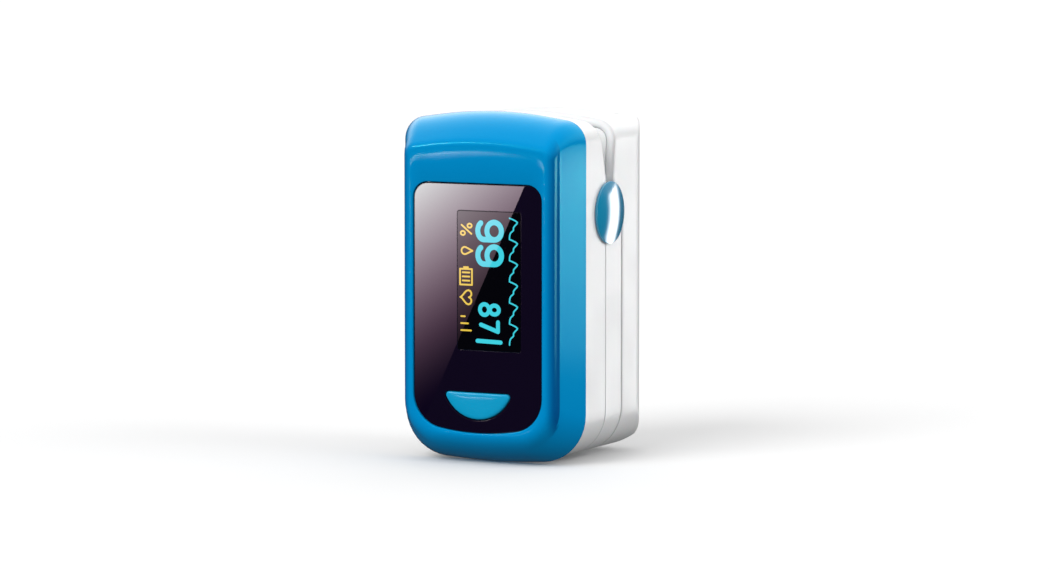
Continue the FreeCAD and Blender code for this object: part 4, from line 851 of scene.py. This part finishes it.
def pad_mesh(name, section, low, high, soften, body, node):
    """Sweeps a closed section up the device with softened ends, then bores the lens hole and smooths."""
    rows = 26
    loops = []
    centre_x = sum(x for x, y in section) / len(section)
    centre_y = sum(y for x, y in section) / len(section)
    for row in range(rows + 1):
        z = low + (high - low) * row / rows
        edge = min(z - low, high - z)
        pinch = 1 - 0.035 * max(0, 1 - edge / soften) ** 2
        loops.append(
            [(centre_x + (x - centre_x) * pinch, centre_y + (y - centre_y) * pinch, z) for x, y in section]
        )
    thing = piece(name, *skin(loops, caps=(True, True)), SOFT, None, "soft_pad", sharp=60)
    rounding = thing.modifiers.new("soft edges", "BEVEL")
    rounding.width = soften * 0.4 * MM
    rounding.segments = 3
    rounding.limit_method = "ANGLE"
    rounding.angle_limit = math.radians(40)
    tool_mesh = bpy.data.meshes.new(name + "_bore")
    tool = bmesh.new()
    stand = Matrix.Translation((0, centre_y * MM, LENS_HEIGHT * MM)) @ FACE_FRONT
    radius = LENS_HOLE_RADIUS * MM
    bmesh.ops.create_cone(
        tool, cap_ends=True, segments=48, radius1=radius, radius2=radius, depth=6.0 * MM, matrix=stand
    )
    tool.to_mesh(tool_mesh)
    tool.free()
    cutter = bpy.data.objects.new(name + "_bore", tool_mesh)
    bpy.context.scene.collection.objects.link(cutter)
    bore = thing.modifiers.new("lens hole", "BOOLEAN")
    bore.object = cutter
    bore.operation = "DIFFERENCE"
    bore.solver = "EXACT"
    bpy.context.view_layer.update()
    done = bpy.data.meshes.new_from_object(thing.evaluated_get(bpy.context.evaluated_depsgraph_get()))
    thing.modifiers.clear()
    bpy.data.objects.remove(cutter)
    thing.data = done
    done.name = name
    done.polygons.foreach_set("use_smooth", [True] * len(done.polygons))
    done.set_sharp_from_angle(angle=math.radians(50))
    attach(thing, body)
    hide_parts(node)


def hollow(radius, axis, limit, side):
    """The finger's hollow, from right to left; side is 1 where it curves back and -1 where forward."""
    angles = [limit - 2 * limit * step / 24 for step in range(25)]
    return [(radius * math.sin(angle), axis + side * radius * math.cos(angle)) for angle in angles]


def front_pad():
    """A thick pad with rounded front corners; its hollow opens to the back."""
    half, corner, radius, axis = 10.35, 3.85, 9.6, 2.8
    front, back = -8.25, -3.05
    section = []
    for step in range(9):
        angle = math.pi / 2 * step / 8
        drop = corner - corner * math.sin(angle)
        section.append((-half + corner - corner * math.cos(angle), front + drop))
    for step in range(9):
        angle = math.pi / 2 * step / 8
        drop = corner - corner * math.cos(angle)
        section.append((half - corner + corner * math.sin(angle), front + drop))
    section.append((half, back))
    reach = math.sqrt(radius**2 - (axis - back) ** 2)
    section += hollow(radius, axis, math.asin(reach / radius), -1)
    section.append((-half, back))
    pad_mesh("finger_pad_front", section, 1.45, 38.65, 1.6, "front_half", "front_finger_pad")


def rear_pad():
    """A thin pad whose shallow hollow opens to the front."""
    half, radius, shade_depth_limit = 9.45, 21.12, 1.5
    front, back = 0.05, 2.33
    axis = shade_depth_limit - radius
    section = [(-half, back), (half, back), (half, front + 0.3), (half - 0.15, front + 0.08)]
    reach = math.sqrt(radius**2 - (front - axis) ** 2)
    section += hollow(radius, axis, math.asin(min(reach, half - 0.5) / radius), 1)
    section += [(-half + 0.15, front + 0.08), (-half, front + 0.3)]
    pad_mesh("finger_pad_rear", section, 4.05, 37.55, 1.2, "rear_half", "rear_finger_pad")


# --- hinge spring and ribbon

def tube(points, radius, sides=10):
    """Points and faces of a round wire along a line of points."""
    loops = []
    normal = None
    for i, point in enumerate(points):
        here = Vector(point)
        ahead = Vector(points[min(i + 1, len(points) - 1)])
        behind = Vector(points[max(i - 1, 0)])
        tangent = (ahead - behind).normalized()
        if normal is None:
            normal = tangent.orthogonal().normalized()
        normal = (normal - tangent * normal.dot(tangent)).normalized()
        other = tangent.cross(normal)
        loops.append(
            [
                tuple(here + (normal * math.cos(a) + other * math.sin(a)) * radius)
                for a in (2 * math.pi * k / sides for k in range(sides))
            ]
        )
    return skin(loops, caps=(True, True))


def build_spring():
    """The torsion spring: a leg up the front half, the winding on the pin and a leg up the rear half."""
    y, z = HINGE
    coil, pitch, turns, wire, leg = 1.75, 1.0, 7.5, 0.3, 9.8  # coil and wire are radii
    first = -turns * pitch / 2
    line = [(first, y - coil, z + leg - leg * k / 8) for k in range(8)]
    steps = int(turns * 24)
    for k in range(steps + 1):
        angle = 2 * math.pi * turns * k / steps
        across = first + turns * pitch * k / steps
        line.append((across, y - coil * math.cos(angle), z - coil * math.sin(angle)))
    line += [(-first, y + coil, z + leg * k / 8) for k in range(1, 9)]
    spring = piece("torsion_spring_wire", *tube(line, wire), STEEL, None, "spring_steel", sharp=60)
    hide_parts("torsion_spring")
    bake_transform(spring)


def build_ribbon():
    """The flat cable from the main board over the hinge pin to the sensor board."""
    y, z = HINGE
    low, high, thick = 5.5, 8.5, 0.15
    board_y, sensor_y, drop = -10.65, 4.125, 21.4  # where it starts, where it hangs, and how far down
    over = 2.275  # the bend over the pin
    line = [(board_y + (y - 2.3 - board_y) * k / 10, z) for k in range(10)]
    line += [
        (y - over * math.cos(math.pi * k / 16), z + over * math.sin(math.pi * k / 16)) for k in range(1, 16)
    ]
    line += [(y + over + (sensor_y - 0.005 - y - over) * k / 4, z) for k in range(5)]
    line += [(sensor_y, z - drop * k / 16) for k in range(1, 17)]
    loops = []
    for i, (py, pz) in enumerate(line):
        ahead = Vector(line[min(i + 1, len(line) - 1)])
        behind = Vector(line[max(i - 1, 0)])
        along = (ahead - behind).normalized()
        side = Vector((-along.y, along.x)) * thick / 2
        loops.append(
            [
                (low, py + side.x, pz + side.y),
                (high, py + side.x, pz + side.y),
                (high, py - side.x, pz - side.y),
                (low, py - side.x, pz - side.y),
            ]
        )
    ribbon = piece("ribbon_cable", *skin(loops, caps=(True, True)), RIBBON, None, "ribbon_amber", sharp=40)
    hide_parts("flex_cable")
    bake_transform(ribbon)


# --- finishes of the carried parts

CAD_FINISHES = {
    "display_panel": GLASS,
    "display_carrier": FRAME_BLACK,
    "main_board": BOARD,
    "processor_chip": CHIP,
    "oscillator_can": PLATED,
    "board_components": CHIP,
    "flex_connector": FRAME_BLACK,
    "emitter_led": LENS,
    "key_switch": PLATED,
    "switch_plunger": FRAME_BLACK,
    "front_housing": WHITE,
    "front_tray": WHITE,
    "emitter_lens": LENS,
    "hinge_pin": STEEL,
    "hinge_cap_right": CAP_BLUE,
    "hinge_cap_left": CAP_BLUE,
    "front_screws": STEEL,
    "rear_housing": WHITE_REAR,
    "rear_tray": WHITE,
    "sensor_lens": LENS,
    "photodiode": CHIP,
    "sensor_board": BOARD,
    "battery_cell_right": SLEEVE,
    "battery_cell_left": SLEEVE,
    "contact_springs": STEEL,
    "contact_bridge": PLATED,
    "positive_contact": PLATED,
    "negative_contact": PLATED,
    "rear_screws": STEEL,
    "battery_door": WHITE,
}


def dress_carried_parts():
    for node, material in CAD_FINISHES.items():
        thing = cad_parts[node]
        thing.data.materials.clear()
        thing.data.materials.append(material)


# --- studio

FLOOR_HALF = 6.0
# A place on the window mirrors the card's place at this scale and shift, in millimetres.
MIRROR_SCALE, MIRROR_SHIFT = 1.842, (-304.4, -88.8)
CARD_DEPTH = -0.6


def empty_material(name):
    """A material with no nodes yet."""
    material = bpy.data.materials.new(name)
    material.use_nodes = True
    material.node_tree.nodes.clear()
    return material, material.node_tree


def emit(tree, **settings):
    """Gives a card's material its glow."""
    light = add(tree, "ShaderNodeEmission", settings)
    output = tree.nodes.new("ShaderNodeOutputMaterial")
    tree.links.new(light.outputs[0], output.inputs[0])


def place_of(tree, kind):
    """The x, y and z of the place on an object, or of the direction in a world."""
    where = add(tree, "ShaderNodeTexCoord").outputs[kind]
    return add(tree, "ShaderNodeSeparateXYZ", {0: where}).outputs


def show_card(name, corners, material):
    """A studio card that is seen only in reflections."""
    mesh = bpy.data.meshes.new(name)
    mesh.from_pydata(corners, [], [tuple(range(len(corners)))])
    mesh.materials.append(material)
    card = bpy.data.objects.new(name, mesh)
    bpy.context.scene.collection.objects.link(card)
    card.visible_camera = False
    card.visible_diffuse = False
    card.visible_transmission = False
    card.visible_volume_scatter = False
    card.visible_shadow = False


def build_floor():
    """A pale floor that takes shadows but gives the object neither reflections nor bounced light."""
    size = FLOOR_HALF
    corners = [(-size, -size, 0), (size, -size, 0), (size, size, 0), (-size, size, 0)]
    mesh = bpy.data.meshes.new("studio_floor")
    mesh.from_pydata(corners, [], [(0, 1, 2, 3)])
    material = bpy.data.materials.new("pale floor")
    material.use_nodes = True
    tree = material.node_tree
    surface = tree.nodes["Principled BSDF"]
    grains = place_group(tree, GRAIN, Size=0.004, Mottle_Size=0.2)
    tone = place_group(
        tree,
        TONE,
        Colour=(0.84, 0.84, 0.84, 1),
        Edge_Colour=(1, 1, 1, 1),
        Mottle=grains["Mottle"],
        Mottle_Amount=0.004,
    )
    tree.links.new(tone["Colour"], surface.inputs["Base Color"])
    surface.inputs["Roughness"].default_value = 0.9
    surface.inputs["Specular IOR Level"].default_value = 0.1
    mesh.materials.append(material)
    floor = bpy.data.objects.new("studio_floor", mesh)
    bpy.context.scene.collection.objects.link(floor)
    floor.visible_glossy = False
    floor.visible_diffuse = False


def mirrored(x, z):
    """Where the card is met by a line of sight that the window turns back at x, z."""
    return (
        (MIRROR_SCALE * x + MIRROR_SHIFT[0]) * MM,
        CARD_DEPTH,
        (MIRROR_SCALE * z + MIRROR_SHIFT[1]) * MM,
    )


def build_sheen_card():
    """A graded card low at the front left, whose slanting edge shows in the window as a soft diagonal."""
    rise, fall = 0.0212, -0.0155  # change in brightness for each millimetre up and across the window
    brightest, contrast, peak = 0.83, 2.2, 32.0
    material, tree = empty_material("graded card")
    split = place_of(tree, "Object")
    base = mirrored(-11.5, 46.8)
    height = sum_of(tree, "SUBTRACT", split[2], base[2])
    across = sum_of(tree, "SUBTRACT", split[0], base[0])
    up = sum_of(tree, "MULTIPLY", height, rise / MIRROR_SCALE / MM)
    over = sum_of(tree, "MULTIPLY", across, fall / MIRROR_SCALE / MM)
    level = sum_of(tree, "ADD", sum_of(tree, "ADD", up, over), brightest)
    level = sum_of(tree, "MAXIMUM", level, 0.0)
    level = sum_of(tree, "MINIMUM", level, 1.0)
    strength = sum_of(tree, "MULTIPLY", sum_of(tree, "POWER", level, contrast), peak)
    paleness = ramp(tree, level, 0.25, 0.85)
    tint = blend_colours(tree, "MIX", paleness, (1.0, 0.55, 0.8, 1), (1.0, 1.0, 1.0, 1))
    emit(tree, Color=tint, Strength=strength)
    show_card("sheen_card", [mirrored(-14.0, 0.2), mirrored(-14.0, 49.6), mirrored(9.4, 49.6)], material)


def graded_card(name, axis, start, rise, fall, end, strength):
    """A glow that rises from dark between two places along an axis and falls back between two others."""
    material, tree = empty_material(name)
    along = place_of(tree, "Object")[axis]
    up = ramp(tree, along, start, rise, smooth=True)
    down = ramp(tree, along, fall, end, 1.0, 0.0, smooth=True)
    emit(tree, Strength=sum_of(tree, "MULTIPLY", sum_of(tree, "MULTIPLY", up, down), strength))
    return material


def build_side_card():
    """A card at the right, bright in a band and fading down, which shows in the bezel's right flank."""
    x, near, far, low, high = 0.6, 0.02, 0.2, -0.16, 0.06
    corners = [(x, near, low), (x, far, low), (x, far, high), (x, near, high)]
    show_card("side_card", corners, graded_card("fading card", 2, -0.07, 0.03, 0.035, 0.055, 7.0))


def build_back_card():
    """A narrow card behind at the right, which shows as the light band in the domed hinge cap."""
    y, left, right, low, high = 0.55, 0.12, 0.46, -0.16, 0.1
    corners = [(left, y, low), (right, y, low), (right, y, high), (left, y, high)]
    show_card("back_card", corners, graded_card("band card", 0, left, 0.25, 0.32, right, 7.0))


def build_crease_card():
    """A small bright strip high at the front left, which draws the thin light line along the top crease."""
    left, right, low, high = -0.75, -0.28, 0.40, 0.46
    corners = [(x, CARD_DEPTH, z) for x, z in ((left, low), (right, low), (right, high), (left, high))]
    show_card("crease_card", corners, graded_card("strip card", 0, left, -0.6, -0.5, right, 26.0))


def build_world():
    """Even white light all round; reflections see a darker front and a bright top and back."""
    world = bpy.data.worlds.new("studio")
    bpy.context.scene.world = world
    world.use_nodes = True
    tree = world.node_tree
    tree.nodes.clear()
    split = place_of(tree, "Generated")
    height = ramp(tree, split[2], 0.05, 0.5, smooth=True)
    back = ramp(tree, split[1], -0.35, 0.6, 0.08, 1.0, smooth=True)
    shine = sum_of(tree, "MULTIPLY", height, back)
    shine = sum_of(tree, "ADD", sum_of(tree, "MULTIPLY", shine, 2.2), 0.03)
    path = add(tree, "ShaderNodeLightPath").outputs
    above = ramp(tree, split[2], -0.35, 0.35, 0.24, 0.78, smooth=True)
    plain = sum_of(tree, "MAXIMUM", above, path["Is Camera Ray"])
    even = add(tree, "ShaderNodeBackground", {"Color": (1, 1, 1, 1), "Strength": plain}).outputs[0]
    graded = add(tree, "ShaderNodeBackground", {"Color": (1, 1, 1, 1), "Strength": shine}).outputs[0]
    mix = add(tree, "ShaderNodeMixShader", {0: path["Is Glossy Ray"], 1: even, 2: graded})
    output = tree.nodes.new("ShaderNodeOutputWorld")
    tree.links.new(mix.outputs[0], output.inputs[0])


def heading(azimuth, elevation):
    """The direction out to a place seen from the object; azimuth 0 is in front and 90 at the right."""
    a, e = math.radians(azimuth), math.radians(elevation)
    return Vector((math.sin(a) * math.cos(e), -math.cos(a) * math.cos(e), math.sin(e)))


def distant_light(name, azimuth, elevation, strength, softness=40):
    """A very large soft light far away, which lights the floor evenly; softness is its width in degrees."""
    data = bpy.data.lights.new(name, "SUN")
    data.energy = strength
    data.angle = math.radians(softness)
    lamp = bpy.data.objects.new(name, data)
    bpy.context.scene.collection.objects.link(lamp)
    lamp.rotation_euler = heading(azimuth, elevation).to_track_quat("Z", "Y").to_euler()
    lamp.visible_glossy = False


def build_camera():
    """A long lens low at the front right, aimed a little beside and below the object's middle."""
    azimuth, elevation, distance = 27.0, 5.4, 0.81
    beside, below = 0.45, 0.5
    data = bpy.data.cameras.new("camera")
    data.sensor_width = 36
    data.lens = 159.7
    data.clip_start, data.clip_end = 0.05, 50
    camera = bpy.data.objects.new("camera", data)
    bpy.context.scene.collection.objects.link(camera)
    towards = heading(azimuth, elevation)
    right = Vector((math.cos(math.radians(azimuth)), math.sin(math.radians(azimuth)), 0))
    up = towards.cross(right)
    camera.rotation_euler = towards.to_track_quat("Z", "Y").to_euler()
    aim = OBJECT_MIDDLE * MM + right * beside * MM - up * below * MM
    camera.location = aim + towards * distance
    bpy.context.scene.camera = camera


build_camera()
build_bezel()
build_window()
build_figures()
build_key()
front_pad()
rear_pad()
build_spring()
build_ribbon()
dress_carried_parts()
build_floor()
build_sheen_card()
build_world()
build_side_card()
build_back_card()
build_crease_card()
distant_light("top_light", -18, 36, 1.85)
distant_light("side_light", 95, 25, 0.98)

bpy.context.scene.view_settings.view_transform = "Standard"
